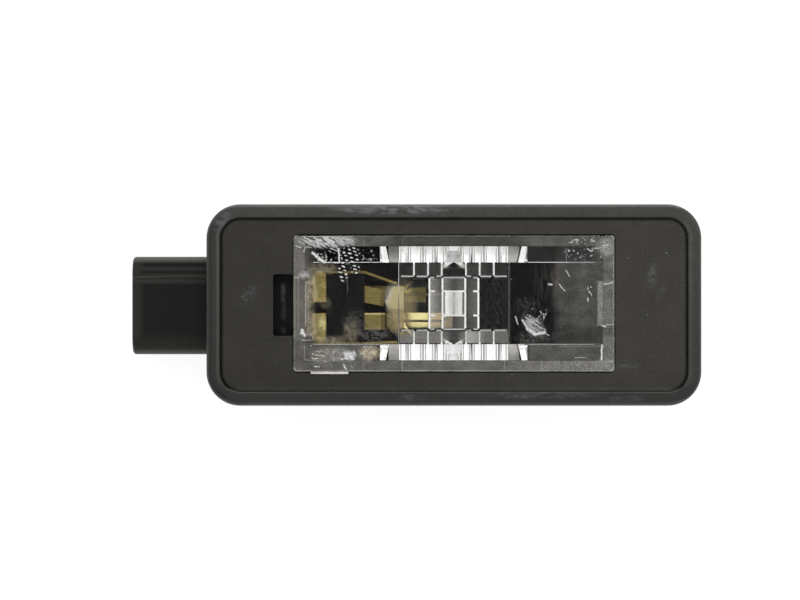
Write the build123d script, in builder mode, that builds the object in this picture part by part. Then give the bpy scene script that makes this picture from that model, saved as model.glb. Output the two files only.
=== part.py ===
"""Number plate lamp: a sealed face with a clear prism lens, a wedge bulb behind it and a two-pin connector.

Millimetres. The origin is the middle of the seal's seat, in the plane of the panel's outer skin.
X runs along the lamp away from the connector, Y across it, and Z out of the lens.
"""
import os
from math import radians, tan

from build123d import *

# Fits between pieces, per side
SLIP_FIT = 0.1
WEDGE_FIT = 0.15
BLADE_FIT = 0.05

# Seal
SEAL_LENGTH = 80.3
SEAL_WIDTH = 32.7
SEAL_CORNER_R = 5.5
SEAL_RIM_W = 2.3
SEAL_BASE_T = 1.2
SEAL_RIM_RISE = 0.3
SEAL_OUTER_R = 1.3
SEAL_INNER_R = 0.4
SEAL_RELIEF_W = 1.2
SEAL_RELIEF_D = 0.4

# Housing face and chamber
FLANGE_T = 2.6
FLANGE_EDGE = 0.4
WALL = 1.6
CHAMBER_R = 1.2
BOX_EDGE_R = 1.0
BASE_RECESS_D = 0.5
BASE_FRAME_W = 3.0

# Lens plate and rails
LENS_LENGTH = 52.0
LENS_WIDTH = 22.1
LENS_T = 1.5
LENS_CORNER_R = 0.8
LENS_EDGE_R = 0.25
LENS_FIT = 0.15
LENS_LOW_GAP = 0.2
LENS_Y = 0.27
RAIL_INSET_X = 1.95
RAIL_INSET_Y = 1.82
RAIL_W = 2.6
RAIL_DEPTH = 1.2
RIM_NOTCH_L = 16.5
RIM_NOTCH_D = 0.4
GATE_L = 6.1
GATE_X = -20.15
GATE_REACH = 0.4

# Prism flutes across the rails, named from the middle outwards
FLUTE_SLOPE = 43.5
FLUTE_ROOT = 0.3
FLUTE_LAND = 0.02
FLUTE_MIDDLE_W = 2.44
FLUTE_SIDE_WIDTHS = (1.8, 1.93, 2.47, 1.55)
FLUTE_PLAIN_W = 1.5
FLUTE_OUTER_W = 1.6
FLUTE_OUTER_TIP_W = 1.05
MIDDLE_REACH = 1.0
MIDDLE_SLANT = 1.25
MIDDLE_END_W = 3.6

# Fine rib grid, rail beads and roof prism on the back of the lens
RIB_W = 0.31
RIB_SLOPE = 43.5
BEAD_W = 0.08
EDGE_RIB_W = 0.06
GRID_X = (1.97, 4.19, 6.48)
GRID_FEET = (0.88, 1.86, 2.1)
GRID_END_X = 8.95
GRID_FOOT_Y = 4.4
FRAME_X = (1.86, 3.98)
FRAME_TAB = 0.85
FRAME_ROW_Y = 1.97
FRAME_TOP_Y = 4.19
ROOF_HALF_W = 1.55
ROOF_SLOPE = 43.5
ROOF_LAND = 0.22

# Lens tongue at one end, latch at the other
TONGUE_W = 7.3
TONGUE_L = 2.8
TONGUE_D = 1.1
TONGUE_NOSE = 0.9
TONGUE_ROOF = 0.35
LATCH_FINGER_W = 8.8
LATCH_FINGER_T = 0.6
LATCH_FINGER_D = 3.0
LATCH_NOSE = 0.35
LATCH_NOSE_H = 0.7

# Pry slot beside the lens
SLOT_L = 3.3
SLOT_W = 10.0
SLOT_D = 5.0
SLOT_R = 0.4
SLOT_WALL = 1.2
SLOT_WEB = 1.0

# Panel fixing
PANEL_GAP = 2.2
HOOK_REACH = 3.2
SNAP_W = 9.0
SNAP_T = 1.4
SNAP_GAP = 2.3
SNAP_NOSE = 2.6
SNAP_NOSE_H = 1.2
SNAP_RAMP_H = 5.0
SNAP_TOP_DROP = 1.2

# Wedge bulb
AXIS_Y = -0.45
BULB_D = 10.0
BULB_LENGTH = 26.8
BULB_SHOULDER_R = 3.4
WEDGE_LENGTH = 9.6
WEDGE_W = 9.2
WEDGE_T = 2.1
WEDGE_R = 0.9
GLASS_T = 0.6
NECK_R = 3.4
NECK_INSET = 0.55
OPTIC_ROOM = 3.2
FLOOR_ROOM = 2.2
WIRE_D = 0.4
WIRE_SPREAD = 4.4
WIRE_BEND_R = 0.35
WIRE_TAIL = 4.6
WIRE_PROUD = 0.25
FILAMENT_D = 0.44
FILAMENT_X_SHARE = 0.53
FILAMENT_RISE = 1.5

# Bulb holder
TERMINAL_ROOM = 3.4
HOLDER_BACK = 2.0
HOLDER_GRIP = 4.2
HOLDER_SIDE = 0.6
HOLDER_ROOF = 0.8
FLEX_ROOM = 0.35

# Contacts
SHEET_T = 0.4
BLADE_W = 2.8
BLADE_T = 0.8
BLADE_PITCH = 4.5
BLADE_LENGTH = 8.5
BLADE_POINT = 0.3
FINGER_W = 2.7
FINGER_REACH = 3.5
FINGER_FLARE = 0.35
FINGER_TWIST = (-12.0, 0.0)
STRIP_OFFSET = 1.0
STRIP_DEPTH = 2.6
STRIP_TIP_DEPTH = 0.9
STRIP_REACH = 5.4
STRIP_LEAN = (1.9, 0.2)
PAD_RISE = 0.3
PAD_BEND_R = 0.9
FOOT_REACH = (10.2, 14.6)
FOOT_ROLL = (0.0, -7.0)
FOOT_LIFT = 0.9
BEND_R = 0.2

# Connector
CONNECTOR_W = 16.1
CONNECTOR_H = 10.6
CONNECTOR_R = 3.0
CONNECTOR_WALL = 1.4
CONNECTOR_Y = -0.1
CONNECTOR_REACH = 12.55
CONNECTOR_DROP = 0.5
SOCKET_DEPTH = 15.0
SOCKET_FLOOR = 1.8
NECK_RIB_T = 1.2
NECK_WEB_H = 3.6
KEY_W = 1.1
KEY_H = 0.45
KEY_PITCH = 1.6
LOCK_W = 4.0
LOCK_L = 3.0
LOCK_H = 0.9

# Heights that follow from the sizes above
FLANGE_BACK_Z = SEAL_BASE_T
FACE_Z = FLANGE_BACK_Z + FLANGE_T
SEAL_TOP_Z = FACE_Z + SEAL_RIM_RISE
LENS_BACK_Z = FACE_Z - LENS_T
RAIL_BACK_Z = LENS_BACK_Z - RAIL_DEPTH
BULB_Z = LENS_BACK_Z - OPTIC_ROOM - BULB_D / 2
FLOOR_Z = BULB_Z - BULB_D / 2 - FLOOR_ROOM
BASE_Z = FLOOR_Z - WALL
CONNECTOR_Z = -PANEL_GAP - CONNECTOR_DROP - CONNECTOR_H / 2
FINGER_Z = WEDGE_T / 2 + WIRE_PROUD + SHEET_T / 2 + BLADE_FIT
PAD_Z = BULB_Z + FINGER_Z + PAD_RISE
FOOT_Z = FLOOR_Z + FOOT_LIFT + SHEET_T / 2
HOLDER_TOP_Z = BULB_Z + FINGER_Z + SHEET_T / 2 + FLEX_ROOM + HOLDER_ROOF

# Outlines that follow
SEAL_INNER_L = SEAL_LENGTH - 2 * SEAL_RIM_W
SEAL_INNER_W = SEAL_WIDTH - 2 * SEAL_RIM_W
FLANGE_LENGTH = SEAL_INNER_L - 2 * SLIP_FIT
FLANGE_WIDTH = SEAL_INNER_W - 2 * SLIP_FIT
FLANGE_R = SEAL_CORNER_R - SEAL_RIM_W - SLIP_FIT
RAIL_LENGTH = LENS_LENGTH - 2 * RAIL_INSET_X
RAIL_OUTER_W = LENS_WIDTH - 2 * RAIL_INSET_Y
RAIL_Y = RAIL_OUTER_W / 2 - RAIL_W / 2
RAIL_INNER_Y = RAIL_OUTER_W / 2 - RAIL_W
CHAMBER_LENGTH = RAIL_LENGTH + 2 * LENS_FIT
CHAMBER_WIDTH = RAIL_OUTER_W + 2 * LENS_FIT
BOX_LENGTH = CHAMBER_LENGTH + 2 * WALL
BOX_WIDTH = CHAMBER_WIDTH + 2 * WALL
LENS_LEFT_X = -LENS_LENGTH / 2
LENS_RIGHT_X = LENS_LENGTH / 2
CHAMBER_LEFT_X = -CHAMBER_LENGTH / 2
BOX_LEFT_X = -BOX_LENGTH / 2
BOX_RIGHT_X = BOX_LENGTH / 2
SLOT_LEFT_X = LENS_LEFT_X - SLOT_L
SLOT_RIGHT_X = CHAMBER_LEFT_X - SLOT_WEB
SLOT_FLOOR_Z = FACE_Z - SLOT_D
WELL_LEFT_X = SLOT_LEFT_X - SLOT_WALL
BOSS_RIGHT_X = LENS_RIGHT_X + TONGUE_NOSE + LENS_FIT + SLOT_WALL
OPENING_HALF_L = max(-WELL_LEFT_X, BOSS_RIGHT_X) + SLIP_FIT
OPENING_WIDTH = BOX_WIDTH + 2 * SLIP_FIT
HOLDER_LEFT_X = CHAMBER_LEFT_X + TERMINAL_ROOM
HOLDER_STOP_X = HOLDER_LEFT_X + HOLDER_BACK
HOLDER_RIGHT_X = HOLDER_STOP_X + HOLDER_GRIP
HOLDER_HALF_W = WEDGE_W / 2 + WEDGE_FIT + HOLDER_SIDE
WEDGE_END_X = HOLDER_STOP_X + 1.25 * WIRE_D + WEDGE_FIT
BULB_TIP_X = WEDGE_END_X + BULB_LENGTH
SHOULDER_X = WEDGE_END_X + WEDGE_LENGTH
FILAMENT_X = WEDGE_END_X + WIRE_TAIL + (BULB_LENGTH - WIRE_TAIL) * FILAMENT_X_SHARE
CONNECTOR_END_X = -SEAL_LENGTH / 2 - CONNECTOR_REACH
SOCKET_FLOOR_X = CONNECTOR_END_X + SOCKET_DEPTH
BLADE_TIP_X = SOCKET_FLOOR_X - BLADE_LENGTH
STRIP_Y = HOLDER_HALF_W + SLIP_FIT + STRIP_OFFSET - HOLDER_SIDE
RISER_X = CHAMBER_LEFT_X + SLIP_FIT + SHEET_T / 2
PAD_END_X = HOLDER_LEFT_X - SLIP_FIT

os.makedirs("parts", exist_ok=True)

# Seal: a base ring under the face and a rounded rim round its edge
with BuildPart() as seal:
    with BuildSketch():
        RectangleRounded(SEAL_LENGTH, SEAL_WIDTH, SEAL_CORNER_R)
    extrude(amount=SEAL_TOP_Z)
    fillet(seal.faces().sort_by(Axis.Z)[-1].edges(), SEAL_OUTER_R)
    with BuildSketch(Plane.XY.offset(SEAL_BASE_T)):
        RectangleRounded(SEAL_INNER_L, SEAL_INNER_W, SEAL_CORNER_R - SEAL_RIM_W)
    extrude(amount=SEAL_TOP_Z, mode=Mode.SUBTRACT)
    fillet(seal.faces().filter_by(Plane.XY).sort_by(Axis.Z)[-1].inner_wires()[0].edges(), SEAL_INNER_R)
    with BuildSketch():
        RectangleRounded(2 * OPENING_HALF_L, OPENING_WIDTH, CHAMBER_R)
    extrude(amount=SEAL_BASE_T, mode=Mode.SUBTRACT)
    # Relief between the two sealing lips on the seat
    with BuildSketch():
        RectangleRounded(SEAL_INNER_L, SEAL_INNER_W, SEAL_CORNER_R - SEAL_RIM_W)
        offset(amount=-SEAL_RELIEF_W, mode=Mode.SUBTRACT)
    extrude(amount=SEAL_RELIEF_D, mode=Mode.SUBTRACT)
seal.part.label = "seal"
export_step(seal.part, "parts/seal.step")

# Housing: face, chamber, pry slot, bulb holder, panel fixings and connector in one moulding
with BuildPart() as housing:
    # Chamber box with rounded lower edges
    with BuildSketch(Plane.XY.offset(BASE_Z)):
        RectangleRounded(BOX_LENGTH, BOX_WIDTH, CHAMBER_R + WALL / 2)
    extrude(amount=FLANGE_BACK_Z - BASE_Z)
    fillet(housing.faces().sort_by(Axis.Z)[0].edges(), BOX_EDGE_R)
    with BuildSketch(Plane.XY.offset(BASE_Z)):
        RectangleRounded(BOX_LENGTH - 2 * BASE_FRAME_W, BOX_WIDTH - 2 * BASE_FRAME_W, CHAMBER_R)
    extrude(amount=BASE_RECESS_D, mode=Mode.SUBTRACT)
    # Face with a bevelled edge
    with BuildSketch(Plane.XY.offset(FLANGE_BACK_Z)):
        RectangleRounded(FLANGE_LENGTH, FLANGE_WIDTH, FLANGE_R)
    extrude(amount=FLANGE_T)
    chamfer(housing.faces().sort_by(Axis.Z)[-1].edges(), FLANGE_EDGE)
    # Well behind the pry slot, and the boss over the lens tongue
    with BuildSketch(Plane.XY.offset(SLOT_FLOOR_Z - SLOT_WEB)):
        with Locations(((WELL_LEFT_X + BOX_LEFT_X + WALL / 2) / 2, 0)):
            Rectangle(BOX_LEFT_X + WALL / 2 - WELL_LEFT_X, SLOT_W + 2 * SLOT_WALL)
    extrude(amount=FLANGE_BACK_Z - SLOT_FLOOR_Z + SLOT_WEB)
    with BuildSketch(Plane.XY.offset(LENS_BACK_Z - TONGUE_D - LENS_FIT - SLOT_WEB)):
        with Locations(((BOSS_RIGHT_X + BOX_RIGHT_X - WALL / 2) / 2, 0)):
            Rectangle(BOSS_RIGHT_X - BOX_RIGHT_X + WALL / 2, TONGUE_W + 2 * SLOT_WALL)
    extrude(amount=FLANGE_BACK_Z - LENS_BACK_Z + TONGUE_D + LENS_FIT + SLOT_WEB)
    # Connector shell, its floor and the ribbed neck that carries it
    with BuildSketch(Plane.YZ.offset(CONNECTOR_END_X)):
        with Locations((CONNECTOR_Y, CONNECTOR_Z)):
            RectangleRounded(CONNECTOR_W, CONNECTOR_H, CONNECTOR_R)
    extrude(amount=SOCKET_DEPTH + SOCKET_FLOOR)
    chamfer(housing.faces().sort_by(Axis.X)[0].edges(), BLADE_POINT)
    with BuildSketch(Plane.YZ.offset(SOCKET_FLOOR_X)):
        with Locations((CONNECTOR_Y, CONNECTOR_Z)):
            Rectangle(CONNECTOR_W - 2 * CONNECTOR_WALL, NECK_WEB_H)
            with GridLocations(CONNECTOR_W / 2 - CONNECTOR_WALL - NECK_RIB_T / 2, 0, 3, 1):
                Rectangle(NECK_RIB_T, CONNECTOR_H)
    extrude(amount=BOX_LEFT_X + WALL / 2 - SOCKET_FLOOR_X)
    # Panel hook: a lip on the neck that reaches under the panel from below the well
    with BuildSketch(Plane.XZ.offset(-CONNECTOR_Y)):
        with Locations((WELL_LEFT_X + (SLOT_WALL - HOOK_REACH) / 2, -PANEL_GAP - CONNECTOR_DROP)):
            Rectangle(HOOK_REACH + SLOT_WALL, 2 * CONNECTOR_DROP)
    extrude(amount=CONNECTOR_W / 2 - CONNECTOR_WALL, both=True)
    # Key ribs along the shell and the lock ramp under it
    key_y = CONNECTOR_Y + CONNECTOR_W / 2 - CONNECTOR_R
    key_z = CONNECTOR_Z + CONNECTOR_H / 2 - CONNECTOR_WALL
    with BuildSketch(Plane.YZ.offset(CONNECTOR_END_X + BLADE_POINT)):
        with Locations((key_y, key_z + CONNECTOR_WALL / 2)):
            Rectangle(KEY_W, CONNECTOR_WALL + 2 * KEY_H)
        with Locations((key_y + KEY_PITCH, key_z)):
            Rectangle(KEY_W * 0.6, CONNECTOR_WALL + KEY_H)
    extrude(amount=SOCKET_DEPTH)
    with BuildSketch(Plane.XZ.offset(-CONNECTOR_Y)):
        with BuildLine():
            Polyline(
                (CONNECTOR_END_X + LOCK_L, CONNECTOR_Z - CONNECTOR_H / 2 + CONNECTOR_WALL / 2),
                (CONNECTOR_END_X + LOCK_L, CONNECTOR_Z - CONNECTOR_H / 2),
                (CONNECTOR_END_X + 2 * LOCK_L, CONNECTOR_Z - CONNECTOR_H / 2 - LOCK_H),
                (CONNECTOR_END_X + 2 * LOCK_L, CONNECTOR_Z - CONNECTOR_H / 2 + CONNECTOR_WALL / 2),
                close=True,
            )
        make_face()
    extrude(amount=LOCK_W / 2, both=True)
    # Sprung snap at the far end: an arm from the base with a ramped nose
    with BuildSketch(Plane.XZ):
        arm_x = BOX_RIGHT_X + SNAP_GAP
        nose_x = arm_x + SNAP_T + SNAP_NOSE
        with BuildLine():
            Polyline(
                (BOX_RIGHT_X - WALL / 2, BASE_Z + BOX_EDGE_R),
                (arm_x + SNAP_T, BASE_Z + BOX_EDGE_R),
                (arm_x + SNAP_T, -PANEL_GAP - SNAP_NOSE_H - SNAP_RAMP_H),
                (nose_x, -PANEL_GAP - SNAP_NOSE_H),
                (nose_x, -PANEL_GAP),
                (arm_x + SNAP_T, -PANEL_GAP),
                (arm_x + SNAP_T, -SNAP_TOP_DROP),
                (arm_x, -SNAP_TOP_DROP),
                (arm_x, BASE_Z + BOX_EDGE_R + WALL),
                (BOX_RIGHT_X - WALL / 2, BASE_Z + BOX_EDGE_R + WALL),
                close=True,
            )
        make_face()
    extrude(amount=SNAP_W / 2, both=True)
    # Hollow chamber
    with BuildSketch(Plane.XY.offset(FLOOR_Z)):
        with Locations((0, LENS_Y)):
            RectangleRounded(CHAMBER_LENGTH, CHAMBER_WIDTH, CHAMBER_R)
    extrude(amount=FACE_Z - FLOOR_Z, mode=Mode.SUBTRACT)
    # Bulb holder standing on the chamber floor
    with BuildSketch(Plane.XY.offset(FLOOR_Z)):
        with Locations(((HOLDER_LEFT_X + HOLDER_RIGHT_X) / 2, AXIS_Y)):
            Rectangle(HOLDER_RIGHT_X - HOLDER_LEFT_X, 2 * HOLDER_HALF_W)
    extrude(amount=HOLDER_TOP_Z - FLOOR_Z)
    with BuildSketch(Plane.YZ.offset(HOLDER_STOP_X)):
        with Locations((AXIS_Y, BULB_Z)):
            Rectangle(WEDGE_W + 2 * WEDGE_FIT, WEDGE_T + 2 * WEDGE_FIT)
    extrude(amount=HOLDER_GRIP, mode=Mode.SUBTRACT)
    with BuildSketch(Plane.YZ.offset(HOLDER_LEFT_X)):
        with Locations((AXIS_Y, BULB_Z)):
            with GridLocations(BLADE_PITCH, 0, 2, 1):
                Rectangle(FINGER_W + 2 * WEDGE_FIT, 2 * (FINGER_Z + SHEET_T / 2 + FLEX_ROOM))
    extrude(amount=HOLDER_BACK + HOLDER_GRIP, mode=Mode.SUBTRACT)
    # Rebate for the lens and its gate lug
    with BuildSketch(Plane.XY.offset(LENS_BACK_Z)):
        with Locations((0, LENS_Y + (LENS_FIT - LENS_LOW_GAP) / 2)):
            rebate_width = LENS_WIDTH + LENS_FIT + LENS_LOW_GAP
            RectangleRounded(LENS_LENGTH + 2 * LENS_FIT, rebate_width, LENS_CORNER_R)
        with Locations((GATE_X, LENS_Y - LENS_WIDTH / 2)):
            Rectangle(GATE_L + 2 * LENS_FIT, 2 * (GATE_REACH + LENS_FIT))
    extrude(amount=LENS_T, mode=Mode.SUBTRACT)
    # Pocket for the lens tongue, reaching under the face
    with BuildSketch(Plane.XY.offset(LENS_BACK_Z - TONGUE_D - LENS_FIT)):
        pocket_left_x = CHAMBER_LENGTH / 2 - WALL / 2
        pocket_length = LENS_RIGHT_X + TONGUE_NOSE + LENS_FIT - pocket_left_x
        with Locations((pocket_left_x + pocket_length / 2, LENS_Y)):
            Rectangle(pocket_length, TONGUE_W + 2 * LENS_FIT)
    extrude(amount=TONGUE_D + LENS_FIT, mode=Mode.SUBTRACT)
    # Pry slot with the recess that the lens latch snaps into
    with BuildSketch(Plane.XY.offset(SLOT_FLOOR_Z)):
        with Locations(((SLOT_LEFT_X + SLOT_RIGHT_X) / 2, 0)):
            RectangleRounded(SLOT_RIGHT_X - SLOT_LEFT_X, SLOT_W, SLOT_R)
    extrude(amount=SLOT_D, mode=Mode.SUBTRACT)
    with BuildSketch(Plane.XY.offset(LENS_BACK_Z - LATCH_FINGER_D - LENS_FIT)):
        with Locations((SLOT_RIGHT_X, 0)):
            Rectangle(2 * (LATCH_NOSE + SLIP_FIT), SLOT_W)
    extrude(amount=LATCH_NOSE_H + 2 * LENS_FIT, mode=Mode.SUBTRACT)
    # Connector socket and the two ways through for the blades
    with BuildSketch(Plane.YZ.offset(CONNECTOR_END_X)):
        with Locations((CONNECTOR_Y, CONNECTOR_Z)):
            RectangleRounded(
                CONNECTOR_W - 2 * CONNECTOR_WALL,
                CONNECTOR_H - 2 * CONNECTOR_WALL,
                CONNECTOR_R - CONNECTOR_WALL,
            )
    extrude(amount=SOCKET_DEPTH, mode=Mode.SUBTRACT)
    with BuildSketch(Plane.YZ.offset(SOCKET_FLOOR_X)):
        with Locations((AXIS_Y, CONNECTOR_Z)):
            with GridLocations(BLADE_PITCH, 0, 2, 1):
                Rectangle(BLADE_W + 2 * BLADE_FIT, BLADE_T + 2 * BLADE_FIT)
    extrude(amount=CHAMBER_LEFT_X - SOCKET_FLOOR_X, mode=Mode.SUBTRACT)
housing.part.label = "housing"
export_step(housing.part, "parts/housing.step")

# Lens: plate, rails, prism flutes, fine rib grid, roof prism, tongue and latch
flute_edges = [FLUTE_MIDDLE_W / 2]
for width in FLUTE_SIDE_WIDTHS:
    flute_edges.append(flute_edges[-1] + width)
flute_edges = [-x for x in reversed(flute_edges)] + flute_edges
flute_line = [(flute_edges[0], RAIL_BACK_Z + FLUTE_ROOT)]
for left, right in zip(flute_edges, flute_edges[1:]):
    half = (right - left - FLUTE_LAND) / 2
    flute_line.append((left + FLUTE_LAND / 2, RAIL_BACK_Z))
    flute_line.append(((left + right) / 2, RAIL_BACK_Z - half * tan(radians(FLUTE_SLOPE))))
    flute_line.append((right - FLUTE_LAND / 2, RAIL_BACK_Z))
flute_line.append((flute_edges[-1], RAIL_BACK_Z + FLUTE_ROOT))
outer_flute_x = flute_edges[-1] + FLUTE_PLAIN_W + FLUTE_OUTER_W
middle_deep_z = RAIL_BACK_Z - MIDDLE_END_W / 2 * tan(radians(FLUTE_SLOPE))
middle_end_y = RAIL_INNER_Y - MIDDLE_REACH

# Ribs of one quarter of the lens: start, end, width and the height of the face that they stand on
ribs = [
    ((FRAME_X[0], 0), (FRAME_X[0], FRAME_TOP_Y), RIB_W, LENS_BACK_Z),
    ((FRAME_X[1], 0), (FRAME_X[1], FRAME_TOP_Y), RIB_W, LENS_BACK_Z),
    ((0, FRAME_ROW_Y), (FRAME_X[0], FRAME_ROW_Y), RIB_W, LENS_BACK_Z),
    ((FRAME_X[1] - FRAME_TAB, FRAME_ROW_Y), (FRAME_X[1], FRAME_ROW_Y), RIB_W, LENS_BACK_Z),
    ((0, FRAME_TOP_Y), (FRAME_X[0], FRAME_TOP_Y), RIB_W, LENS_BACK_Z),
    ((FRAME_X[1] - FRAME_TAB, FRAME_TOP_Y), (FRAME_X[1], FRAME_TOP_Y), RIB_W, LENS_BACK_Z),
    ((GRID_END_X, 0), (GRID_END_X, RAIL_INNER_Y + FLUTE_ROOT), EDGE_RIB_W, LENS_BACK_Z),
]
for column, foot in zip(GRID_X, GRID_FEET):
    ribs.append(((column, GRID_FOOT_Y), (column, RAIL_INNER_Y + FLUTE_ROOT), RIB_W, LENS_BACK_Z))
    ribs.append(((column, GRID_FOOT_Y), (column + foot, GRID_FOOT_Y), RIB_W, LENS_BACK_Z))
bead_end_x = RAIL_LENGTH / 2 - CHAMBER_R
bead_inner_y = RAIL_INNER_Y + BEAD_W / 2
ribs.append(((outer_flute_x, bead_inner_y), (bead_end_x, bead_inner_y), BEAD_W, RAIL_BACK_Z))

with BuildPart() as lens:
    with BuildSketch(Plane.XY.offset(LENS_BACK_Z)):
        RectangleRounded(LENS_LENGTH, LENS_WIDTH, LENS_CORNER_R)
        with Locations((GATE_X, -LENS_WIDTH / 2)):
            Rectangle(GATE_L, 2 * GATE_REACH)
    extrude(amount=LENS_T)
    fillet(lens.faces().sort_by(Axis.Z)[-1].edges(), LENS_EDGE_R)
    with BuildSketch(Plane.XY.offset(LENS_BACK_Z)):
        with GridLocations(0, LENS_WIDTH - RAIL_INSET_Y, 1, 2):
            Rectangle(RIM_NOTCH_L, RAIL_INSET_Y)
    extrude(amount=RIM_NOTCH_D, mode=Mode.SUBTRACT)
    with BuildSketch(Plane.XY.offset(LENS_BACK_Z)):
        RectangleRounded(RAIL_LENGTH, RAIL_OUTER_W, CHAMBER_R)
        Rectangle(RAIL_LENGTH, 2 * RAIL_INNER_Y, mode=Mode.SUBTRACT)
    extrude(amount=-RAIL_DEPTH)
    # Prism flutes on both rails, the outer one narrowing towards the lens edge
    for side in (1, -1):
        with BuildSketch(Plane.XZ.offset(-side * RAIL_Y)):
            with BuildLine():
                Polyline(*flute_line, close=True)
            make_face()
        extrude(amount=RAIL_W / 2, both=True)
        for end in (1, -1):
            for flute_y, width in ((RAIL_INNER_Y, FLUTE_OUTER_W), (RAIL_OUTER_W / 2, FLUTE_OUTER_TIP_W)):
                flute_tip_z = RAIL_BACK_Z - width / 2 * tan(radians(FLUTE_SLOPE))
                with BuildSketch(Plane.XZ.offset(-side * flute_y)):
                    with BuildLine():
                        Polyline(
                            (end * outer_flute_x, RAIL_BACK_Z + FLUTE_ROOT),
                            (end * outer_flute_x, RAIL_BACK_Z),
                            (end * (outer_flute_x - width / 2), flute_tip_z),
                            (end * (outer_flute_x - width), RAIL_BACK_Z),
                            (end * (outer_flute_x - width), RAIL_BACK_Z + FLUTE_ROOT),
                            close=True,
                        )
                    make_face()
            loft(ruled=True)
    # The middle flute widens inwards past the rail and ends in a slant
    for side in (1, -1):
        with BuildSketch(Plane.YZ):
            with BuildLine():
                Polyline(
                    (side * RAIL_OUTER_W / 2, LENS_BACK_Z + FLUTE_ROOT),
                    (side * middle_end_y, LENS_BACK_Z + FLUTE_ROOT),
                    (side * middle_end_y, RAIL_BACK_Z),
                    (side * (middle_end_y + MIDDLE_SLANT), middle_deep_z),
                    (side * RAIL_OUTER_W / 2, middle_deep_z),
                    close=True,
                )
            make_face()
        reach = extrude(amount=MIDDLE_END_W / 2, both=True, mode=Mode.PRIVATE)
        with BuildPart(mode=Mode.PRIVATE) as ridge:
            ridge_start_w = FLUTE_MIDDLE_W - FLUTE_ROOT
            for flute_y, width in ((RAIL_OUTER_W / 2, ridge_start_w), (middle_end_y, MIDDLE_END_W)):
                with BuildSketch(Plane.XZ.offset(-side * flute_y)):
                    with BuildLine():
                        Polyline(
                            (-width / 2, LENS_BACK_Z + FLUTE_ROOT),
                            (-width / 2, RAIL_BACK_Z),
                            (0, RAIL_BACK_Z - width / 2 * tan(radians(FLUTE_SLOPE))),
                            (width / 2, RAIL_BACK_Z),
                            (width / 2, LENS_BACK_Z + FLUTE_ROOT),
                            close=True,
                        )
                    make_face()
            loft(ruled=True)
        add(reach & ridge.part)
    # Fine V ribs and beads, mirrored into all four quarters
    for side_x in (1, -1):
        for side_y in (1, -1):
            for start, end, width, face_z in ribs:
                start_point = Vector(side_x * start[0], side_y * start[1], face_z)
                run = Vector(side_x * end[0], side_y * end[1], face_z) - start_point
                across = Vector(0, 0, 1).cross(run.normalized())
                with BuildSketch(Plane(origin=start_point, x_dir=across, z_dir=run)):
                    with BuildLine():
                        Polyline(
                            (-width / 2, FLUTE_ROOT),
                            (-width / 2, 0),
                            (0, -width / 2 * tan(radians(RIB_SLOPE))),
                            (width / 2, 0),
                            (width / 2, FLUTE_ROOT),
                            close=True,
                        )
                    make_face()
                extrude(amount=run.length)
    # Roof prism in the middle, over the filament
    roof_tip_z = LENS_BACK_Z - (ROOF_HALF_W - ROOF_LAND / 2) * tan(radians(ROOF_SLOPE))
    with BuildSketch(Plane.XZ):
        with BuildLine():
            Polyline(
                (-ROOF_HALF_W, LENS_BACK_Z + FLUTE_ROOT),
                (-ROOF_HALF_W, LENS_BACK_Z),
                (-ROOF_LAND / 2, roof_tip_z),
                (ROOF_LAND / 2, roof_tip_z),
                (ROOF_HALF_W, LENS_BACK_Z),
                (ROOF_HALF_W, LENS_BACK_Z + FLUTE_ROOT),
                close=True,
            )
        make_face()
    extrude(amount=FRAME_ROW_Y - RIB_W / 2, both=True)
    # Tongue that hooks under the face, and the latch finger in the pry slot
    with BuildSketch(Plane.XZ):
        with BuildLine():
            Polyline(
                (LENS_RIGHT_X - TONGUE_L, LENS_BACK_Z),
                (LENS_RIGHT_X - TONGUE_L, LENS_BACK_Z - TONGUE_D),
                (LENS_RIGHT_X + TONGUE_NOSE, LENS_BACK_Z - TONGUE_D),
                (LENS_RIGHT_X + TONGUE_NOSE, LENS_BACK_Z - TONGUE_ROOF),
                (LENS_RIGHT_X, LENS_BACK_Z - TONGUE_ROOF),
                (LENS_RIGHT_X, LENS_BACK_Z),
                close=True,
            )
        make_face()
    extrude(amount=TONGUE_W / 2, both=True)
    with BuildSketch(Plane.XZ):
        finger_x = SLOT_RIGHT_X - SLIP_FIT
        with BuildLine():
            Polyline(
                (finger_x - LATCH_FINGER_T, LENS_BACK_Z),
                (finger_x, LENS_BACK_Z),
                (finger_x, LENS_BACK_Z - LATCH_FINGER_D + LATCH_NOSE_H),
                (finger_x + LATCH_NOSE, LENS_BACK_Z - LATCH_FINGER_D + LATCH_NOSE_H),
                (finger_x, LENS_BACK_Z - LATCH_FINGER_D),
                (finger_x - LATCH_FINGER_T, LENS_BACK_Z - LATCH_FINGER_D),
                close=True,
            )
        make_face()
    extrude(amount=LATCH_FINGER_W / 2, both=True)
lens_in_place = Pos(0, LENS_Y, 0) * lens.part
lens_in_place.label = "lens"
export_step(lens_in_place, "parts/lens.step")

# Lead wires: through the wedge, round its end and back along one face each
wire_y = WIRE_SPREAD / 2
wire_turn_x = WEDGE_END_X - 0.75 * WIRE_D
wire_face_z = WEDGE_T / 2 + WIRE_PROUD - WIRE_D / 2
with BuildPart() as bulb_lead_wire_upper:
    with BuildLine():
        FilletPolyline(
            (FILAMENT_X, AXIS_Y + wire_y, BULB_Z),
            (wire_turn_x, AXIS_Y + wire_y, BULB_Z),
            (wire_turn_x, AXIS_Y + wire_y, BULB_Z + wire_face_z),
            (WEDGE_END_X + WIRE_TAIL, AXIS_Y + wire_y, BULB_Z + wire_face_z),
            radius=WIRE_BEND_R,
        )
    with BuildSketch(Plane((FILAMENT_X, AXIS_Y + wire_y, BULB_Z), (0, 1, 0), (-1, 0, 0))):
        Circle(WIRE_D / 2)
    sweep()
bulb_lead_wire_upper.part.label = "bulb_lead_wire_upper"
export_step(bulb_lead_wire_upper.part, "parts/bulb_lead_wire_upper.step")

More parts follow.
